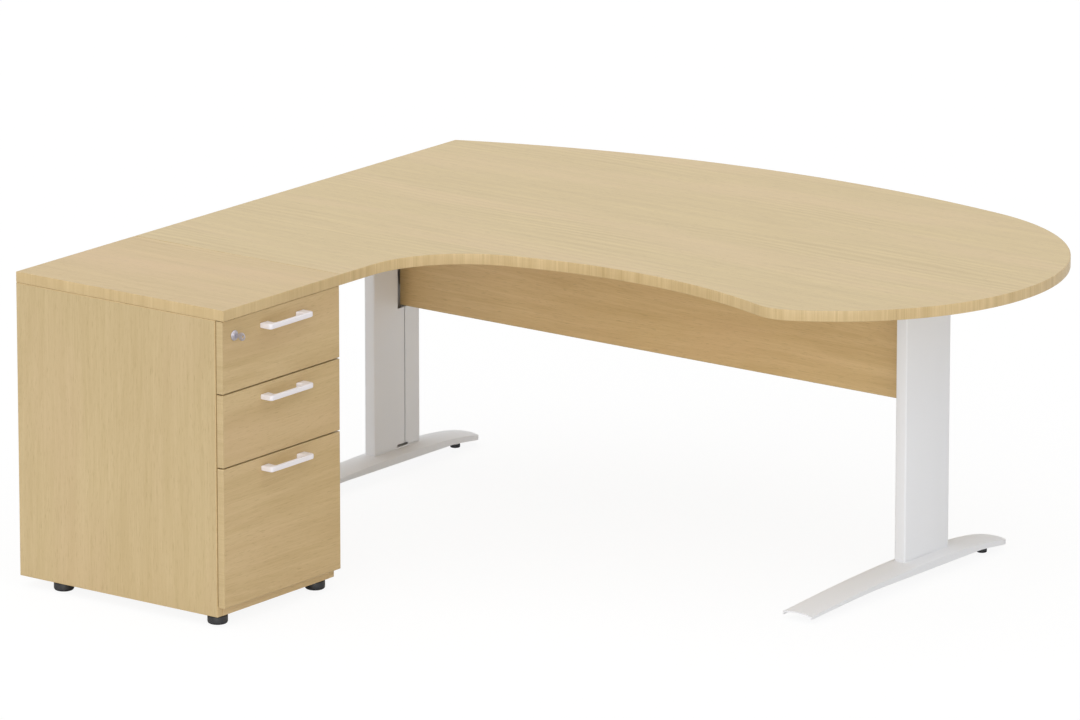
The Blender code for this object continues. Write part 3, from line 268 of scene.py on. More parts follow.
# Object coordinates turned so that the grain's X runs along the wanted axis, from its own part of the print
def grainPlace(along, offset):
    def build(tree):
        values = {"Vector": objectPlace(tree), "Location": offset, "Rotation": grainTurn[along]}
        return addNode(tree, "ShaderNodeMapping", values).outputs[0]
    return build


def stripPlace(tree):
    return addNode(tree, "ShaderNodeUVMap", uv_map="strip").outputs[0]


def oak(name, along, offset, **values):
    return finish(name, "grain", grainPlace(along, offset), plain["oakBump"], **values)


def stripes(name, bump=0.12, **values):
    return finish(name, "stripes", stripPlace, bump, **values)


def coat(name, colour, bump, **values):
    return finish(name, "coat", objectPlace, bump, Colour=(*colour, 1.0), **values)


def plate(name, colour, bump, **values):
    return finish(name, "plate", objectPlace, bump, metallic=1.0, Colour=(*colour, 1.0), **values)


def tones(light, dark, blush):
    return {"Light": (*light, 1.0), "Dark": (*dark, 1.0), "Blush": (*blush, 1.0)}


# Lit and shaded copies of the one oak, as painted light and shade by face: the worktop's top tones are
# lighter and the visible side's and the drawer fronts' darker. The modesty panel's and the plinth's tones are
# lighter, as painted light against the shade under the worktop and under the drawer fronts.
topTonesPaintedLight = tones((0.692, 0.542, 0.284), (0.579, 0.430, 0.205), (0.692, 0.512, 0.286))
sideTonesPaintedShade = tones((0.618, 0.480, 0.262), (0.515, 0.381, 0.189), (0.618, 0.456, 0.266))
frontTonesPaintedShade = tones((0.630, 0.467, 0.242), (0.525, 0.371, 0.174), (0.630, 0.445, 0.246))
panelTonesPaintedLight = tones((0.742, 0.540, 0.272), (0.612, 0.420, 0.190), (0.742, 0.510, 0.276))
plinthTonesPaintedLight = tones((0.720, 0.542, 0.290), (0.600, 0.428, 0.206), (0.720, 0.512, 0.292))
materials = {
    "worktop": oak("oakWorktop", "x", (0.0, 0.0, 0.0), Lines=1.35, Pores=1.3, Patches=0.5, **topTonesPaintedLight),
    "pedestalTop": oak("oakPedestalTop", "x", (3.1, 1.7, 0.0), Lines=1.5, Figure=1.3, Pores=1.3),
    "side": oak("oakSide", "z", (7.0, 0.4, 2.2), Lines=1.3, Pores=1.5, Figure=1.3, Streaks=0.8, Patches=0.35,
                **sideTonesPaintedShade),
    "carcass": oak("oakCarcass", "z", (11.0, 2.4, 0.7)),
    "base": oak("oakBase", "x", (5.0, 0.3, 1.9)),
    "plinth": oak("oakPlinth", "y", (4.0, 0.6, 0.9), Patches=0.3, **plinthTonesPaintedLight),
    "front": oak("oakFront", "y", (2.0, 0.9, 0.31), Lines=1.5, Pores=1.4, Figure=1.3, Patches=0.45,
                 **frontTonesPaintedShade),
    "modesty": oak("oakModesty", "x", (9.0, 0.2, 0.5), Lines=1.6, Pores=1.3, Patches=0.4, **panelTonesPaintedLight),
    "edging": stripes("oakEdging", bump=0.15),
    "quietEdging": stripes("oakQuietEdging", Contrast=0.6),
    "frontEdging": stripes("oakFrontEdging", Contrast=0.6, Light=(0.640, 0.490, 0.266, 1.0),
                           Dark=(0.445, 0.316, 0.145, 1.0)),
    "whiteSteel": coat("whiteSteel", (0.865, 0.874, 0.90), bump=0.12),
    # Painted shade: a greyer coat on the column's inner faces, so that its notch and slot look shaded
    "inside": coat("columnInsidePaintedShade", (0.42, 0.40, 0.38), bump=0.2, Gloss=0.5),
    # Painted shade: a dark brown coat for the shadow at the modesty panel's ends, its brown a painted
    # reflection of the oak
    "bracket": coat("bracketPaintedShade", (0.24, 0.185, 0.135), bump=0.2, Gloss=0.5),
    "handle": coat("whiteHandle", (0.90, 0.865, 0.895), bump=0.04, Peel=120.0, Gloss=0.26),
    "tray": coat("greyTray", (0.42, 0.43, 0.44), bump=0.15),
    "zinc": plate("zincPlate", (0.72, 0.73, 0.74), bump=0.08),
    # Satin nickel darkened below its own colour, as painted shade on the lock, key and barrel
    "nickel": plate("nickelPlateWithPaintedShade", (0.52, 0.50, 0.545), bump=0.06, Brush=(300.0, 300.0, 300.0), Spangle=200.0,
                    Gloss=0.34),
    "foot": coat("blackFoot", (0.030, 0.031, 0.035), bump=0.3, Peel=700.0, Gloss=0.42),
    "glide": coat("blackGlide", (0.024, 0.024, 0.027), bump=0.3, Peel=700.0, Gloss=0.42),
}
print("materials made:", len(materials))


# A surface from a grid of points, rows by columns, as (points, faces, UV of each face corner). Rows and
# columns may close on themselves, caps fill the first and last rows, and strip holds each point's length and
# height. Faces point outwards where the sum of their fans' triple products about the middle is above zero.
def gridShape(grid, closeRows=False, closeColumns=False, caps=False, strip=None):
    rows, columns = grid.shape[:2]
    i, j = np.meshgrid(np.arange(rows if closeRows else rows - 1),
                       np.arange(columns if closeColumns else columns - 1), indexing="ij")
    i, j = i.ravel(), j.ravel()
    onRow, onColumn = (i + 1) % rows, (j + 1) % columns
    points = grid.reshape(-1, 3)
    around = [i * columns + j, i * columns + onColumn, onRow * columns + onColumn, onRow * columns + j]
    faces = np.stack(around, 1)
    quads = points[faces] - points.mean(axis=0)
    volume = np.einsum("ij,ij->", np.cross(quads[:, 1], quads[:, 2]), quads[:, 0])
    volume += np.einsum("ij,ij->", np.cross(quads[:, 2], quads[:, 3]), quads[:, 0])
    uv = None
    if strip is not None:
        uv = np.stack([strip[i, j], strip[i, j + 1], strip[i + 1, j + 1], strip[i + 1, j]], 1)
    faces = faces.tolist()
    if caps:
        faces += [list(range(columns))[::-1], list(range((rows - 1) * columns, rows * columns))]
    if volume < 0.0:
        faces = [face[::-1] for face in faces]
        uv = None if uv is None else uv[:, ::-1]
    return points, faces, None if uv is None else uv.reshape(-1, 2)


# A rod through its rows of points, with both ends closed
def rodShape(grid, strip=None):
    return gridShape(grid, closeColumns=True, caps=True, strip=strip)


# A profile of (radius, height) spun about an axis through centre: (radius cos angle, radius sin angle,
# height); a loop closes the profile on itself
def turnedShape(profile, centre, axis="z", steps=48, loop=False):
    profile = np.array(profile)
    angle = np.linspace(0.0, math.tau, steps, endpoint=False)[:, None]
    across, aside = profile[:, 0] * np.cos(angle), profile[:, 0] * np.sin(angle)
    height = np.broadcast_to(profile[:, 1], across.shape)
    order = (height, across, aside) if axis == "x" else (across, aside, height)
    return gridShape(np.stack(order, -1) + np.array(centre), True, loop)


# Points nearer than made and solid are one. Flat and sharp are angles between faces in degrees: below the
# first they are one face, and above the second their edge is kept crisp.
merging = {"made": 0.0000005, "solid": 0.00001, "flat": 0.6, "sharp": 32.0}


# Several shapes as one mesh, with points that meet merged and edges sharper than an angle kept crisp
def shapeMesh(name, shapes, sharp=merging["sharp"]):
    start, points, faces = 0, [], []
    for part, partFaces, _ in shapes:
        points.append(part)
        faces += [[index + start for index in face] for face in partFaces]
        start += len(part)
    mesh = bpy.data.meshes.new(name)
    mesh.from_pydata(np.concatenate(points).tolist(), [], faces)
    if shapes[0][2] is not None:
        loops = np.zeros((len(mesh.loops), 2), np.float32)
        loops[:len(shapes[0][2])] = shapes[0][2]
        mesh.uv_layers.new(name="strip").data.foreach_set("uv", loops.ravel())
    tidyMesh(mesh, merging["made"])
    return crisp(mesh, sharp)


# Smooth shading, with edges that turn by more than sharp degrees kept
def crisp(mesh, sharp):
    mesh.shade_smooth()
    mesh.set_sharp_from_angle(angle=math.radians(sharp))
    return mesh


# Points within a distance merged, slivers dissolved, and flat areas made one face where flat is given
def tidyMesh(mesh, distance, flat=0.0):
    shape = bmesh.new()
    shape.from_mesh(mesh)
    bmesh.ops.remove_doubles(shape, verts=shape.verts, dist=distance)
    bmesh.ops.dissolve_degenerate(shape, edges=shape.edges, dist=distance / 2.0)
    if flat:
        bmesh.ops.dissolve_limit(shape, angle_limit=math.radians(flat), verts=shape.verts, edges=shape.edges)
    shape.to_mesh(mesh)
    shape.free()


def newObject(name, data):
    made = bpy.data.objects.new(name, data)
    bpy.context.scene.collection.objects.link(made)
    return made


# A finished piece at the origin that rides on a body and takes its finish from a slot
def addPiece(name, mesh, material, body, replaced=()):
    piece = newObject(name, mesh)
    mesh.materials.clear()
    mesh.materials.append(materials[material])
    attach(piece, body)
    if replaced:
        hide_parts(*replaced)
    return piece


# A piece that takes the place of a node, on its body and with its slot
def standFor(node, name, mesh, material):
    return addPiece(name, mesh, material, bodyOf[node], (node,))


# Widths of the softened edges
soft = {"sheet": 0.0003, "base": 0.0003, "tray": 0.0004, "arm": 0.0005, "barrel": 0.00025, "key": 0.0004,
        "foot": 0.0009}


# A bevel along the edges whose faces turn by more than an angle
def softEdges(piece, width, segments=2, angle=30.0):
    modifier = piece.modifiers.new("softEdges", "BEVEL")
    modifier.width = width
    modifier.segments = segments
    modifier.limit_method = "ANGLE"
    modifier.angle_limit = math.radians(angle)
    modifier.harden_normals = True
    return piece


# The node's own shape, with its loose triangles merged and its edges softened
def refine(node, material, bevel=0.0, sharp=30.0):
    mesh = nodes[node].data.copy()
    mesh.name = "fine_" + node
    for layer in list(mesh.uv_layers):
        mesh.uv_layers.remove(layer)
    tidyMesh(mesh, merging["solid"], merging["flat"])
    piece = standFor(node, "fine_" + node, crisp(mesh, sharp), material)
    return softEdges(piece, bevel, angle=sharp) if bevel else piece


# A second material on the faces that a test of their centres and normals picks
def paintFaces(piece, material, picks):
    mesh = piece.data
    centres, normals = np.zeros((2, len(mesh.polygons) * 3), np.float32)
    mesh.polygons.foreach_get("center", centres)
    mesh.polygons.foreach_get("normal", normals)
    mesh.materials.append(materials[material])
    picked = picks(centres.reshape(-1, 3), normals.reshape(-1, 3)).astype(np.int32)
    mesh.polygons.foreach_set("material_index", picked * (len(mesh.materials) - 1))


# Points centre + radius (cos, sin) from one angle to another, about step apart
def arcPoints(centre, radius, start, end, step=0.006):
    count = max(3, int(math.ceil(abs(end - start) * radius / step)))
    angle = np.linspace(start, end, count + 1)
    return np.stack([centre[0] + radius * np.cos(angle), centre[1] + radius * np.sin(angle)], axis=1)


# Points start (1 - share) + end share, about step apart
def straightPoints(start, end, step=0.03):
    count = max(1, int(round(math.dist(start, end) / step)))
    share = np.linspace(0.0, 1.0, count + 1)[:, None]
    return np.array(start) * (1.0 - share) + np.array(end) * share


# One closed path, without the doubled points where two stretches meet
def joinPaths(*paths):
    return np.concatenate([path[:-1] for path in paths])


def quarterAngles(steps):
    return np.linspace(0.0, math.pi / 2.0, steps)


# Outline points to space: the piece's thickness runs along axis
def liftTo(axis, flat, height):
    height = np.broadcast_to(height, flat.shape[:-1])
    order = {"x": (height, flat[..., 0], flat[..., 1]), "y": (flat[..., 0], height, flat[..., 1]),
             "z": (flat[..., 0], flat[..., 1], height)}[axis]
    return np.stack(order, axis=-1)


# A corner is rounded where it turns by more than this angle in radians, and by this radius at least
rounding = {"turn": 0.5, "least": 0.0003}


# The outline moved in by a distance along the mitre of each point's two edges; a sharp corner becomes a
# parabola between the ends of its rounding
def outlineAt(path, distance, radius, steps=5):
    before = path - np.roll(path, 1, axis=0)
    after = np.roll(path, -1, axis=0) - path
    before /= np.linalg.norm(before, axis=1)[:, None]
    after /= np.linalg.norm(after, axis=1)[:, None]
    dot = np.sum(before * after, axis=1)
    left = np.stack([-before[:, 1] - after[:, 1], before[:, 0] + after[:, 0]], 1)
    moved = path + distance * left / (1.0 + dot)[:, None]
    turn = np.abs(np.arctan2(before[:, 0] * after[:, 1] - before[:, 1] * after[:, 0], dot))
    reach = max(radius - distance, rounding["least"]) * np.tan(turn / 2.0)
    reach = np.where(turn > rounding["turn"], reach, 0.0)[:, None, None]
    share = np.linspace(0.0, 1.0, steps)[None, :, None]
    start, end = moved[:, None] - before[:, None] * reach, moved[:, None] + after[:, None] * reach
    curve = (1 - share) ** 2 * start + 2 * share * (1 - share) * moved[:, None] + share ** 2 * end
    keep = np.ones(curve.shape[:2], bool)
    keep[turn <= rounding["turn"], 1:] = False
    return curve[keep]


board = {"edging": 0.0020, "arris": 0.0013, "cornerRadius": 0.0015, "line": 0.00012, "support": 0.004,
         "lap": 0.00003, "jointGap": 0.00025, "nearRim": 0.00005, "step": 0.2}


# The edging's section as (distance in from the outline, height): back, lower and upper quarter circle, back
def edgingSection(low, high, steps=4):
    arris, inner = board["arris"], board["edging"] - board["lap"]
    angle = quarterAngles(steps)
    foot = np.stack([arris - arris * np.sin(angle), low + arris - arris * np.cos(angle)], axis=1)
    head = np.stack([arris - arris * np.cos(angle), high - arris + arris * np.sin(angle)], axis=1)
    return np.concatenate([[[inner, low]], foot, head, [[inner, high]]])


# A node's board: a laminate core inside its outline and edging strips round it. The path is the sharp
# outline, counter-clockwise. hole is (centre, radius) of a bore through the board, and joints are places
# where the edging is butted.
def makeBoard(node, name, path, axis, faces, edge, joints=(), phase=0.0, hole=None):
    low, high = [point["xyz".index(axis)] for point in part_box(node)]
    edging, line, deep = board["edging"], board["line"], board["edging"] + board["support"]
    inward = [deep, edging + line, edging, edging, edging + line, deep]
    level = [high, high, high - line, low + line, low, low]

    def ring(distance):
        return outlineAt(path, distance, board["cornerRadius"])

    rings = [liftTo(axis, ring(distance), height) for distance, height in zip(inward, level)]
    core = shapeMesh(name + "Core", [gridShape(np.stack(rings), closeColumns=True, caps=hole is None)])
    if hole is not None:
        boreHole(core, axis, low, high, *hole)
    standFor(node, name + "Core", core, faces)

    section = edgingSection(low, high)
    outer = ring(0.0)
    loops = np.stack([ring(distance) for distance in section[:, 0]])
    run = np.concatenate([[0.0], np.cumsum(np.linalg.norm(np.roll(outer, -1, axis=0) - outer, axis=1))])
    rise = np.concatenate([[0.0], np.cumsum(np.linalg.norm(np.diff(section, axis=0), axis=1))])
    rise = np.append(rise, rise[-1] + (high - low))
    solid = liftTo(axis, loops, section[:, 1][:, None])
    if not joints:
        strip = np.stack(np.meshgrid(run + phase, rise), axis=-1)
        mesh = shapeMesh(name + "Edging", [gridShape(solid, True, True, strip=strip)])
        addPiece(name + "Edging", mesh, edge, bodyOf[node])
        return
    cuts = sorted(int(np.argmin(np.linalg.norm(outer - np.array(place), axis=1))) for place in joints)
    count = len(outer)
    for index, (start, end) in enumerate(zip(cuts, cuts[1:] + [cuts[0] + count])):
        pick = np.arange(start, end + 1)
        length = run[pick % count] + np.where(pick >= count, run[-1], 0.0) + phase
        part = solid[:, pick % count].transpose(1, 0, 2).copy()
        # Each strip stops a hair short of its neighbour
        for last, inner in ((0, 1), (-1, -2)):
            along = part[inner] - part[last]
            part[last] += along / np.linalg.norm(along, axis=1)[:, None] * board["jointGap"] / 2.0
        strip = np.stack(np.meshgrid(length, rise, indexing="ij"), axis=-1)
        stripName = "%sEdging%d" % (name, index + 1)
        mesh = shapeMesh(stripName, [rodShape(part, strip)])
        addPiece(stripName, mesh, edge, bodyOf[node])


# Fills a core's two open faces round a bore, and makes the bore's wall
def boreHole(mesh, axis, low, high, centre, radius, steps=48):
    shape = bmesh.new()
    shape.from_mesh(mesh)
    border = [edge for edge in shape.edges if edge.is_boundary]
    circle = arcPoints(centre, radius, 0.0, math.tau, math.tau * radius / steps)[:-1]
    deep = "xyz".index(axis)
    rims = []
    for level in (low, high):
        ring = [shape.verts.new(point) for point in liftTo(axis, circle, level).tolist()]
        rims.append(ring)
        rim = [shape.edges.new(pair) for pair in zip(ring, ring[1:] + ring[:1])]
        side = [edge for edge in border if abs(edge.verts[0].co[deep] - level) < board["nearRim"]]
        bmesh.ops.triangle_fill(shape, use_beauty=True, use_dissolve=False, edges=side + rim)
    for (a, b), (c, d) in zip(*[zip(ring, ring[1:] + ring[:1]) for ring in rims]):
        shape.faces.new((a, b, d, c))
    bmesh.ops.recalc_face_normals(shape, faces=shape.faces)
    shape.to_mesh(mesh)
    shape.free()
    crisp(mesh, merging["sharp"])


worktop = {"pedestalDepth": 0.600, "pedestalWidth": 0.420, "wingDepth": 1.200, "reach": 1.300, "bow": 0.213,
           "bowRun": 1.005, "bayDepth": 0.413, "bayRun": 0.518, "bayRadius": 1.100, "elbowRadius": 0.262,
           "noseDrop": 0.122, "noseRadius": 0.107, "noseStep": 0.004, "jointGap": 0.0004,
           "edgingJoints": ((0.0, 0.560), (1.180, 0.9101), (-0.600, 1.619), (-0.600, 0.4215), (0.0, 0.4215))}


# The angle from +X of the line from one point to another
def headingOf(start, end):
    return math.atan2(end[1] - start[1], end[0] - start[0])


# The main worktop's outline: straight end, elbow, hollow bay, nose, D end and visitor's bow. The D end's
# circle touches the visitor's arc, the reach and the nose line; the nose touches the bay outside and the
# D end inside.
def makeWorktopPath():
    w = worktop
    far = (-w["pedestalDepth"], w["pedestalWidth"] + w["wingDepth"])
    bowRadius = (w["bowRun"] ** 2 + w["bow"] ** 2) / (2.0 * w["bow"])
    bowCentre = (far[0] + w["bowRun"], far[1] + w["bow"] - bowRadius)
    apex = w["pedestalWidth"] + w["bayDepth"]
    bay = (w["bayRun"], apex - w["bayRadius"])
    across, up = w["reach"] - bowCentre[0], apex - w["noseDrop"] - bowCentre[1]
    middle = up - across + bowRadius
    endRadius = -middle + math.sqrt(middle ** 2 - across ** 2 - up ** 2 + bowRadius ** 2)
    endCentre = (w["reach"] - endRadius, apex - w["noseDrop"] + endRadius)
    rise = math.sqrt((w["bayRadius"] - w["elbowRadius"]) ** 2 - (bay[0] - w["elbowRadius"]) ** 2)
    elbow = (w["elbowRadius"], bay[1] + rise)
    first, second = w["bayRadius"] + w["noseRadius"], endRadius - w["noseRadius"]
    gap = math.dist(bay, endCentre)
    along = (first ** 2 - second ** 2 + gap ** 2) / (2.0 * gap)
    aside = math.sqrt(first ** 2 - along ** 2)
    ux, uy = (endCentre[0] - bay[0]) / gap, (endCentre[1] - bay[1]) / gap
    nose = (bay[0] + ux * along + uy * aside, bay[1] + uy * along - ux * aside)
    touch, leave = headingOf(bowCentre, endCentre), headingOf(endCentre, nose)
    start = w["pedestalWidth"] + w["jointGap"]
    return corner + joinPaths(
        straightPoints((far[0], start), (0.0, start)),
        straightPoints((0.0, start), (0.0, elbow[1])),
        arcPoints(elbow, w["elbowRadius"], math.pi, headingOf(bay, elbow)),
        arcPoints(bay, w["bayRadius"], headingOf(bay, elbow), headingOf(bay, nose)),
        arcPoints(nose, w["noseRadius"], headingOf(nose, bay) + math.tau, leave + math.tau, w["noseStep"]),
        arcPoints(endCentre, endRadius, leave, 0.0),
        arcPoints(endCentre, endRadius, 0.0, touch),
        arcPoints(bowCentre, bowRadius, touch, math.pi / 2.0),
        arcPoints(bowCentre, bowRadius, math.pi / 2.0, headingOf(bowCentre, far)),
        straightPoints(far, (far[0], start)))


makeBoard("worktop_main", "worktop", makeWorktopPath(), "z", "worktop", "edging",
          [corner + np.array(place) for place in worktop["edgingJoints"]])


# A rectangular board that fills a node's own box
def boardFromNode(node, name, axis, faces, edge, phase, hole=None):
    low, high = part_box(node)
    a, b = [k for k in range(3) if k != "xyz".index(axis)]
    ends = [(low[a], low[b]), (high[a], low[b]), (high[a], high[b]), (low[a], high[b])]
    path = joinPaths(*[straightPoints(p, q, board["step"]) for p, q in zip(ends, ends[1:] + ends[:1])])
    makeBoard(node, name, path, axis, faces, edge, phase=phase, hole=hole)


lock = {"bore": 0.0058, "housing": 0.009, "rosette": 0.012, "thickness": 0.003, "rim": 0.006, "deep": 0.018,
        "hole": 0.0093, "seat": 0.0003, "neck": (0.0084, 0.0040), "chamfer": 0.0003,
        "lip": ((0.0082, 0.0006), (0.0078, 0.0002), (0.0073, 0.0))}
lockPlace = middleOf("lock_housing")
holes = {"drawer_front_top": (lockPlace[1:], lock["hole"])}

# Each board's node, name, thickness axis, face finish, edge finish and place along the edging's print
boardRows = (
    ("pedestal_top", "pedestalTop", "z", "pedestalTop", "quietEdging", 3.0),
    ("pedestal_side_left", "sideLeft", "y", "side", "quietEdging", 5.0),
    ("pedestal_side_right", "sideRight", "y", "carcass", "quietEdging", 7.0),
    ("pedestal_back", "pedestalBack", "x", "carcass", "quietEdging", 17.0),
    ("drawer_front_middle", "frontMiddle", "x", "front", "frontEdging", 9.0),
    ("drawer_front_filing", "frontFiling", "x", "front", "frontEdging", 11.0),
    ("drawer_front_top", "frontTop", "x", "front", "frontEdging", 13.0),
    ("modesty_panel", "modesty", "y", "modesty", "quietEdging", 15.0))
for row in boardRows:
    boardFromNode(*row, hole=holes.get(row[0]))
base = refine("pedestal_base", "base", soft["base"])
endShare = 0.9  # the base's ends have at least this much of their normal along X
# The base's ends take the plinth's lighter oak, painted light against the shade under the drawer fronts
paintFaces(base, "plinth", lambda centres, normals: np.abs(normals[:, 0]) > endShare)
print("boards made")


handle = {"length": 0.1540, "offset": 0.0012, "projection": 0.0312, "height": 0.0123, "bar": 0.0078,
          "leg": 0.0228, "foot": 0.0270, "bend": 0.0075, "hollow": 0.0050, "arris": 0.0028,
          "wallRound": 0.0008, "drop": {"top": 0.0, "middle": -0.0005, "filing": 0.0013},
          "legStep": 0.003, "gripStep": 0.006, "bendStep": 0.0008, "hollowSteps": 9}


# A bow handle seen from above: round outer bends, and broad legs whose slanted inner sides meet the grip in a
# small hollow, a parabola that is tangent to both
def handlePath(x0, middle):
    x1, y0, y1 = x0 + handle["projection"], middle - handle["length"] / 2.0, middle + handle["length"] / 2.0
    bend, quarter = handle["bend"], math.pi / 2.0
    leg, grip, turn = handle["legStep"], handle["gripStep"], handle["bendStep"]
    share = np.linspace(0.0, 1.0, handle["hollowSteps"])[:, None]

    def hollow(foot, corner, end):
        start = corner + (foot - corner) * handle["hollow"] / np.linalg.norm(foot - corner)
        stop = corner + (end - corner) * handle["hollow"] / np.linalg.norm(end - corner)
        return (1 - share) ** 2 * start + 2 * share * (1 - share) * corner + share ** 2 * stop

    inner = x1 - handle["bar"]
    feet = [np.array([x0, y0 + handle["foot"]]), np.array([x0, y1 - handle["foot"]])]
    corners = [np.array([inner, y0 + handle["leg"]]), np.array([inner, y1 - handle["leg"]])]
    near, far = hollow(feet[0], *corners), hollow(feet[1], *corners[::-1])
    return joinPaths(
        straightPoints((x0, y0), (x1 - bend, y0), leg),
        arcPoints((x1 - bend, y0 + bend), bend, -quarter, 0.0, turn),
        straightPoints((x1, y0 + bend), (x1, y1 - bend), grip),
        arcPoints((x1 - bend, y1 - bend), bend, 0.0, quarter, turn),
        straightPoints((x1 - bend, y1), (x0, y1), leg),
        straightPoints((x0, y1), feet[1], leg),
        straightPoints(feet[1], far[0], leg),
        far,
        straightPoints(far[-1], near[-1], grip),
        near[::-1],
        straightPoints(near[0], feet[0], leg),
        straightPoints(feet[0], (x0, y0), leg))


# The outline stands half its height above and below the bar's middle, with a quarter circle for its arris
def makeHandle(drawer):
    node = "handle_" + drawer
    middle, arris = middleOf("drawer_front_" + drawer)[1] + handle["offset"], handle["arris"]
    path = handlePath(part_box(node)[0][0], middle)
    angle = quarterAngles(steps=6)
    inward = arris * (1.0 - np.cos(angle))
    level = handle["height"] / 2.0 - arris + arris * np.sin(angle)
    inward, level = np.append(inward[::-1], inward), np.append(-level[::-1], level)
    level += middleOf(node)[2] - handle["drop"][drawer]
    rings = [liftTo("z", outlineAt(path, d, handle["wallRound"]), z) for d, z in zip(inward, level)]
    bow = shapeMesh(node + "Bow", [rodShape(np.stack(rings))], sharp=50.0)
    standFor(node, "fine_" + node, bow, "handle")


for drawer in ("top", "middle", "filing"):
    makeHandle(drawer)
print("handles made")


# The lock's housing, spun about the lock's axis: a tube through the front, a rosette whose dome is a quarter
# circle, and a rounded lip
def makeLock():
    angle = quarterAngles(steps=7)
    thick, rim, seat, chamfer = lock["thickness"], lock["rim"], lock["seat"], lock["chamfer"]
    dome = np.stack([lock["rosette"] - thick + thick * np.cos(angle), seat + thick * np.sin(angle)], 1)
    profile = [(lock["bore"], -lock["deep"]), (lock["housing"], -lock["deep"]), (lock["housing"], seat),
               *dome, lock["neck"], *[(radius, rim - below) for radius, below in lock["lip"]],
               (lock["bore"] + chamfer, rim), (lock["bore"], rim - chamfer)]
    centre = (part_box("drawer_front_top")[1][0], lockPlace[1], lockPlace[2])
    shape = turnedShape(profile, centre, "x", steps=64, loop=True)
    standFor("lock_housing", "lockHousing", shapeMesh("lockHousing", [shape], sharp=28.0), "nickel")
    refine("lock_barrel", "nickel", soft["barrel"])
    refine("key", "nickel", soft["key"])


makeLock()

# The groove is (radius, height), and a shoulder is (distance in from the wall, height)
pedestalFoot = {"radius": 0.0232, "rounding": 0.0060, "neck": 0.017, "neckHeight": 0.005, "stem": 0.004,
                "groove": ((0.0110, 0.0), (0.0115, 0.0006), (0.0130, 0.0006), (0.0135, 0.0)),
                "shoulder": ((0.0, -0.0008), (0.0003, -0.0002), (0.0010, 0.0005)),
                "neckEdge": (0.0006, 0.0004), "gap": 0.0003}
glide = {"radius": 0.012, "rounding": 0.002, "height": 0.008, "stem": 0.004,
         "shoulder": ((0.0, 0.0068), (0.0004, 0.0076), (0.0012, 0.0080))}


# A quarter circle from the floor up to the wall of a turned foot, as (radius, height)
def footRounding(radius, bend, steps=8):
    angle = np.linspace(-math.pi / 2.0, 0.0, steps)
    return np.stack([radius - bend + bend * np.cos(angle), bend + bend * np.sin(angle)], 1).tolist()


# A profile spun about the upright line through the middle of a node's box, in the node's place
def standTurned(node, profile, material, steps):
    x, y, _ = middleOf(node)
    shape = turnedShape(profile, (x, y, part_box(node)[0][2]), steps=steps)
    standFor(node, "fine_" + node, shapeMesh(node + "Turned", [shape], sharp=34.0), material)


# A levelling foot: a ring groove under it, a rounded wall, a cone up to the neck and the screw
def makePedestalFoot(node):
    p = pedestalFoot
    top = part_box(node)[1][2]
    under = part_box("pedestal_base")[0][2] - p["gap"]
    shoulder = under - p["neckHeight"]
    out, down = p["neckEdge"]
    profile = [(0.0, 0.0), *p["groove"], *footRounding(p["radius"], p["rounding"]),
               *[(p["radius"] - inward, shoulder + up) for inward, up in p["shoulder"]],
               (p["neck"] + out, under - down), (p["neck"], under), (p["stem"], under), (p["stem"], top),
               (0.0, top)]
    standTurned(node, profile, "foot", steps=64)


# A glide: a disc with a rounded foot and shoulder, and its screw
def makeGlide(node):
    low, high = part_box(node)
    top = high[2] - low[2]
    profile = [(0.0, 0.0), *footRounding(glide["radius"], glide["rounding"], steps=5),
               *[(glide["radius"] - inward, up) for inward, up in glide["shoulder"]],
               (glide["stem"], glide["height"]), (glide["stem"], top), (0.0, top)]
    standTurned(node, profile, "glide", steps=40)


for node in nodes:
    if node.startswith("pedestal_foot"):
        makePedestalFoot(node)
    if node.startswith("glide"):
        makeGlide(node)
print("lock, feet and glides made")


arch = {"length": 0.795, "halfWidth": 0.040, "wall": 0.003, "tipLow": 0.012, "archRise": 0.013,
        "tipEdge": 0.0192, "tailEdge": 0.0158, "crestEdge": 0.043, "tipCrown": 0.005, "tailCrown": 0.001,
        "crestCrown": 0.0095, "frontRamp": 0.260, "rearRamp": 0.130, "crestFront": 0.500, "crestRear": 0.250,
        "rampPower": 1.3, "tailPower": 0.5, "tailOpening": 0.0004, "seat": 0.0535, "ribs": (-0.5, 0.0, 0.5),
        "ribStart": 0.010, "ribEnd": 0.300, "ribSheet": 0.002, "ribRise": 0.004, "boss": 0.009,
        "bossBore": 0.0043, "bossLow": 0.0083, "bossLap": 0.0005, "padDepth": 0.010, "padRadius": 0.004,
        "frontGlide": 0.066, "rearGlide": 0.729, "runSteps": 90, "tailSteps": 18, "crownSteps": 20,
        "ribSteps": 24, "padStep": 0.0007}


# The arched foot at distances from its tip: lower edge, upper edge and crown. The arch is
# 1 - (1 - share) ^ power, and the top rises from the tip as a quarter sine and from the tail as a power of
# that sine.
def archLevels(along):
    def share(distance, run):
        return np.clip(distance / arch[run], 0.0, 1.0)

    back = arch["length"] - along
    lift = 1.0 - (1.0 - np.minimum(share(along, "frontRamp"), share(back, "rearRamp"))) ** arch["rampPower"]
    fromTip = np.sin(math.pi / 2.0 * share(along, "crestFront"))
    fromTail = np.sin(math.pi / 2.0 * share(back, "crestRear")) ** arch["tailPower"]
    tops = []
    for level in ("Edge", "Crown"):
        tip, tail, crest = arch["tip" + level], arch["tail" + level], arch["crest" + level]
        tops.append(np.minimum(tip + (crest - tip) * fromTip, tail + (crest - tail) * fromTail))
    return arch["tipLow"] + arch["archRise"] * lift, *tops


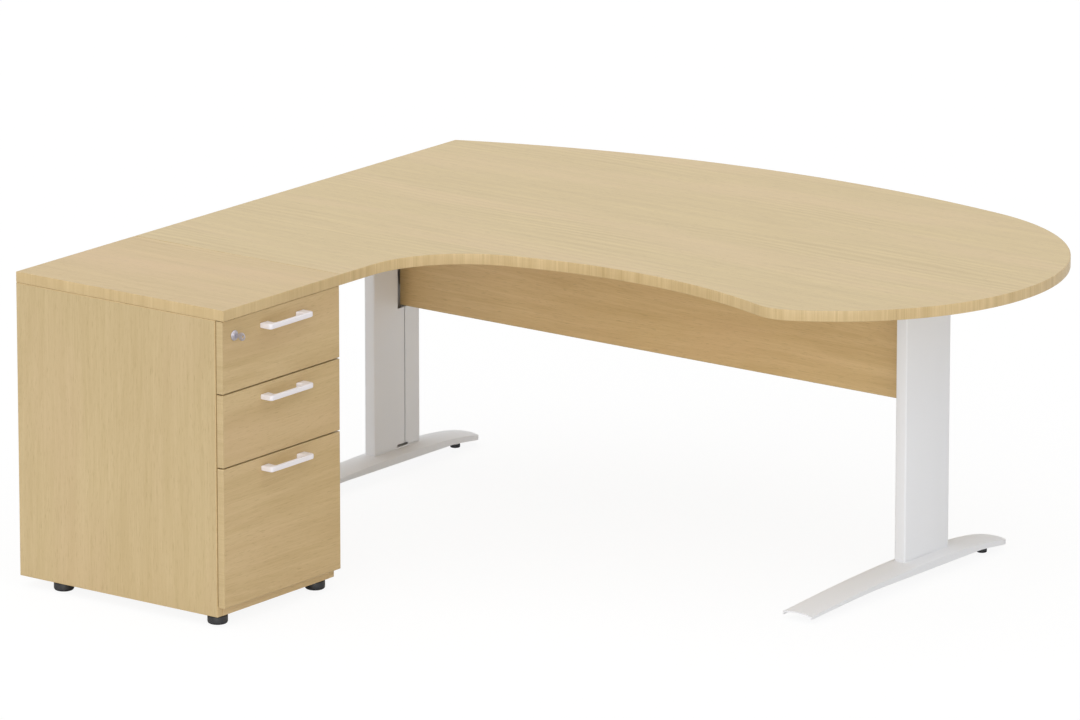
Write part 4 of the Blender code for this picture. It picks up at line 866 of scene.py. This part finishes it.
# One section for each station: wall, crown edge + crown (1 - s^2), wall, and the same again inside. The
# tail's half width falls as a quarter circle.
def archShell(middle, tip):
    half0, wall = arch["halfWidth"], arch["wall"]
    tail = arch["length"] - half0
    last = math.acos((wall + arch["tailOpening"]) / half0)
    turn = last * np.linspace(0.0, 1.0, arch["tailSteps"] + 1)[1:]
    along = np.concatenate([tail * np.linspace(0.0, 1.0, arch["runSteps"] + 1), tail + half0 * np.sin(turn)])
    half = np.concatenate([np.full(arch["runSteps"] + 1, half0), half0 * np.cos(turn)])[:, None]
    low, edge, crown = [level[:, None] for level in archLevels(along)]
    spread = np.linspace(-1.0, 1.0, arch["crownSteps"] + 1)[None]
    roof = edge + crown * (1.0 - spread ** 2)
    inside = half - wall
    x = np.concatenate([-half, half * spread, half, inside, inside * spread[:, ::-1], -inside], 1)
    z = np.concatenate([low, roof, low, low, roof[:, ::-1] - wall, low], 1)
    y = np.broadcast_to(tip + along[:, None], x.shape)
    return rodShape(np.stack([middle + x, y, z], -1))


# A rib under the crown from one distance to another, at a share of the half width
def archRib(middle, tip, share, start, end):
    along = np.linspace(start, end, arch["ribSteps"])[:, None]
    low, edge, crown = archLevels(along)
    top, bottom = edge + crown * (1.0 - share ** 2) - arch["wall"] / 2.0, low + arch["ribRise"]
    side = np.array([[-0.5, 0.5, 0.5, -0.5]]) * arch["ribSheet"]
    x = np.broadcast_to(middle + share * arch["halfWidth"] + side, (len(along), 4))
    z = np.concatenate([bottom, bottom, top, top], 1)
    y = np.broadcast_to(tip + along, x.shape)
    return rodShape(np.stack([x, y, z], -1))


# The pad that the column stands on: a rounded rectangle between two heights
def seatPad(low, high, bottom, top):
    quarter, radius = math.pi / 2.0, arch["padRadius"]
    centres = [(high[0] - radius, low[1] + radius), (high[0] - radius, high[1] - radius),
               (low[0] + radius, high[1] - radius), (low[0] + radius, low[1] + radius)]
    outline = np.concatenate([arcPoints(c, radius, (k - 1) * quarter, k * quarter, arch["padStep"])
                              for k, c in enumerate(centres)])
    return rodShape(np.stack([liftTo("z", outline, z) for z in (bottom, top)]))


# The shell, its ribs with room for the front glide's boss, two bosses and the column's pad
def makeArchedFoot(side):
    node = "foot_" + side
    middle, tip = middleOf(node)[0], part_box(node)[0][1]
    shapes = [archShell(middle, tip)]
    start, end, reach = arch["ribStart"], arch["ribEnd"], arch["boss"] - arch["bossLap"]
    for share in arch["ribs"]:
        stretches = [(start, end)]
        if share == 0.0:
            stretches = [(start, arch["frontGlide"] - reach), (arch["frontGlide"] + reach, end)]
        shapes += [archRib(middle, tip, share, *stretch) for stretch in stretches]
    for distance in (arch["frontGlide"], arch["rearGlide"]):
        _, edge, crown = archLevels(np.array([distance]))
        top = float(edge[0] + crown[0]) - arch["wall"] / 2.0
        profile = [(arch["bossBore"], arch["bossLow"]), (arch["boss"], arch["bossLow"]), (arch["boss"], top),
                   (arch["bossBore"], top)]
        shapes.append(turnedShape(profile, (middle, tip + distance, 0.0), steps=32, loop=True))
    shapes.append(seatPad(*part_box("leg_column_" + side), arch["seat"] - arch["padDepth"], arch["seat"]))
    piece = standFor(node, "fine_" + node, shapeMesh(node + "Arched", shapes, sharp=40.0), "whiteSteel")
    softEdges(piece, soft["foot"], segments=3, angle=38.0)


# The column's bent sheet is pale outside. The faces that look towards its middle are greyer, painted shade
# that darkens the notch beside the modesty panel and the slot at the column's foot: there the product of the
# way out from the middle and the normal is below minus a short reach.
def makeColumn(side, reach=0.0004):
    column = refine("leg_column_" + side, "whiteSteel", soft["sheet"])
    axis = middleOf("leg_column_" + side)

    def looksIn(centres, normals):
        return np.sum((centres - axis)[:, :2] * normals[:, :2], 1) < -reach

    paintFaces(column, "inside", looksIn)


for side in ("left", "right"):
    makeArchedFoot(side)
    makeColumn(side)
    refine("leg_cover_" + side, "whiteSteel", soft["sheet"])
    refine("top_arm_" + side, "whiteSteel", soft["arm"])
print("legs made")

# What is left keeps its own shape, with its finish and softened edges
for node in sorted(nodes):
    if node.startswith("tray"):
        refine(node, "tray", soft["tray"])
    elif slotOf[node] == "zinc_steel":
        # The end brackets take the dark brown coat, painted shade by the modesty panel's ends
        refine(node, "bracket" if node.startswith("end_bracket") else "zinc", soft["sheet"])
print("trays, runners and brackets made")


# The rim's and recess's shares are of the head's radius and height, and the others are places along a piece.
# Each bracket has how far in from its edge and up from its foot its screws stand.
screw = {"radius": 0.0042, "height": 0.0022, "recess": 0.0011, "sink": 0.0006, "steps": 16,
         "domePowers": (0.6, 0.9), "rimShares": (0.42, 0.97), "recessShare": 0.34, "sheet": 0.002,
         "armShares": (0.06, 0.30, 0.77, 0.94), "bracketShares": (0.24, 0.76),
         "brackets": {"top_bracket_left": (0.016, 0.009), "top_bracket_right": (0.016, 0.009),
                      "joining_bracket_rear": (0.014, 0.016), "joining_bracket_front": (0.014, 0.016)}}


# Pan-head screws: one small head with a recess, spun once and repeated at each place along its own axis. The
# dome is radius cos^0.6 by height sin^0.9.
def makeScrews(name, places, body):
    r, h, recess = screw["radius"], screw["height"], screw["height"] - screw["recess"]
    angle = quarterAngles(steps=5)[:-1]
    cosPower, sinPower = screw["domePowers"]
    dome = np.stack([r * np.cos(angle) ** cosPower, h * np.sin(angle) ** sinPower], 1)
    profile = [(0.0, -screw["sink"]), (r, -screw["sink"]), *dome,
               (r * screw["rimShares"][0], h * screw["rimShares"][1]), (r * screw["recessShare"], recess),
               (0.0, recess)]
    points, faces, _ = turnedShape(profile, (0.0, 0.0, 0.0), steps=screw["steps"])
    shapes = []
    for centre, direction in places:
        normal = np.array(direction, float)
        across = np.array([1.0, 0.0, 0.0])
        turned = points @ np.stack([across, np.cross(normal, across), normal])
        shapes.append((turned + np.array(centre), faces, None))
    addPiece(name, shapeMesh(name, shapes, sharp=35.0), "zinc", body)


# Screws up into the worktop through arms and brackets, and sideways into the panel and the pedestal, as
# (place, way the head looks)
def screwPlaces():
    places, sheet = [], screw["sheet"]
    for side in ("left", "right"):
        low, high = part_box("top_arm_" + side)
        x, z = middleOf("top_arm_" + side)[0], high[2] - sheet
        for share in screw["armShares"]:
            places.append(((x, low[1] + (high[1] - low[1]) * share, z), (0, 0, -1)))
    for node, (aside, above) in screw["brackets"].items():
        low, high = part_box(node)
        for share in screw["bracketShares"]:
            x = low[0] + (high[0] - low[0]) * share
            places.append(((x, high[1] - aside, high[2] - sheet), (0, 0, -1)))
            places.append(((x, low[1] + sheet, low[2] + above), (0, 1, 0)))
    return places


makeScrews("bracketScrews", screwPlaces(), "desk_frame")
print("screws made")


# A sun's direction points to it, and its angle is its width in the sky in degrees
light = {"world": 0.38, "floor": 0.94, "floorSide": 60.0, "floorFaint": 0.11, "floorGlow": 0.905,
         "suns": {"softKey": {"strength": 1.60, "direction": (0.10, -0.36, 1.0), "angle": 100.0},
                  "softFill": {"strength": 1.20, "direction": (0.52, -0.81, 0.08), "angle": 42.0}}}


# A white floor: the camera sees near-white with a faint shadow, and other rays see a pale floor
def makeFloor():
    side, faintness, white = light["floorSide"], light["floorFaint"], (1.0, 1.0, 1.0, 1.0)
    mesh = bpy.data.meshes.new("floor")
    corners = [(-side, -side, 0), (side, -side, 0), (side, side, 0), (-side, side, 0)]
    mesh.from_pydata(corners, [], [(0, 1, 2, 3)])
    floor = newObject("floor", mesh)
    material = bpy.data.materials.new("floorWhite")
    material.use_nodes = True
    tree = material.node_tree
    tree.nodes.remove(tree.nodes["Principled BSDF"])
    rays = addNode(tree, "ShaderNodeLightPath").outputs["Is Camera Ray"]
    pale = addNode(tree, "ShaderNodeBsdfDiffuse", {"Color": (light["floor"],) * 3 + (1.0,)})
    faint = addNode(tree, "ShaderNodeBsdfDiffuse", {"Color": (faintness,) * 3 + (1.0,)})
    glow = addNode(tree, "ShaderNodeEmission", {"Color": white, "Strength": light["floorGlow"]})
    seen = addNode(tree, "ShaderNodeAddShader", {0: glow.outputs[0], 1: faint.outputs[0]})
    mixed = addNode(tree, "ShaderNodeMixShader", {0: rays, 1: pale.outputs[0], 2: seen.outputs[0]})
    feed(tree, tree.nodes["Material Output"], {"Surface": mixed.outputs[0]})
    mesh.materials.append(material)


# A sun whose rays come from a direction: it is tilted by the angle from +Z and turned towards it
def makeSun(name, strength, direction, angle):
    lamp = bpy.data.lights.new(name, "SUN")
    lamp.energy = strength
    lamp.angle = math.radians(angle)
    x, y, z = direction
    sun = newObject(name, lamp)
    sun.rotation_euler = (math.atan2(math.hypot(x, y), z), 0.0, math.atan2(x, -y))


# An even world that camera, glossy and transmission rays see as white, a broad soft key from above and a low
# soft fill from the sitter's side, which reaches under the worktop
def makeLight():
    world = bpy.data.worlds.new("studio")
    bpy.context.scene.world = world
    world.use_nodes = True
    tree = world.node_tree
    rays = addNode(tree, "ShaderNodeLightPath")
    seen = mathNode(tree, "MAXIMUM", rays.outputs["Is Camera Ray"], rays.outputs["Is Glossy Ray"])
    seen = mathNode(tree, "MAXIMUM", seen, rays.outputs["Is Transmission Ray"])
    strength = plus(tree, times(tree, seen, 1.0 - light["world"]), light["world"])
    feed(tree, tree.nodes["Background"], {"Color": (1.0, 1.0, 1.0, 1.0), "Strength": strength})
    for name, values in light["suns"].items():
        makeSun(name, **values)


# The photograph's camera: millimetres for the lens and sensor, metres for its place, radians for its turns
view = {"lens": 312.45, "sensor": 36.0, "place": (12.3406, -16.5212, 5.8633), "turn": 0.6479, "tilt": 0.2550,
        "farEnd": 150.0}


def makeCamera():
    data = bpy.data.cameras.new("photoCamera")
    data.lens = view["lens"]
    data.sensor_width = view["sensor"]
    data.sensor_fit = "HORIZONTAL"
    data.clip_end = view["farEnd"]
    camera = newObject("photoCamera", data)
    camera.location = view["place"]
    camera.rotation_euler = (math.pi / 2.0 - view["tilt"], 0.0, view["turn"])
    bpy.context.scene.camera = camera


makeFloor()
makeLight()
makeCamera()
bpy.context.scene.view_settings.view_transform = "Standard"
print("floor, light and camera set")

bpy.context.view_layer.update()
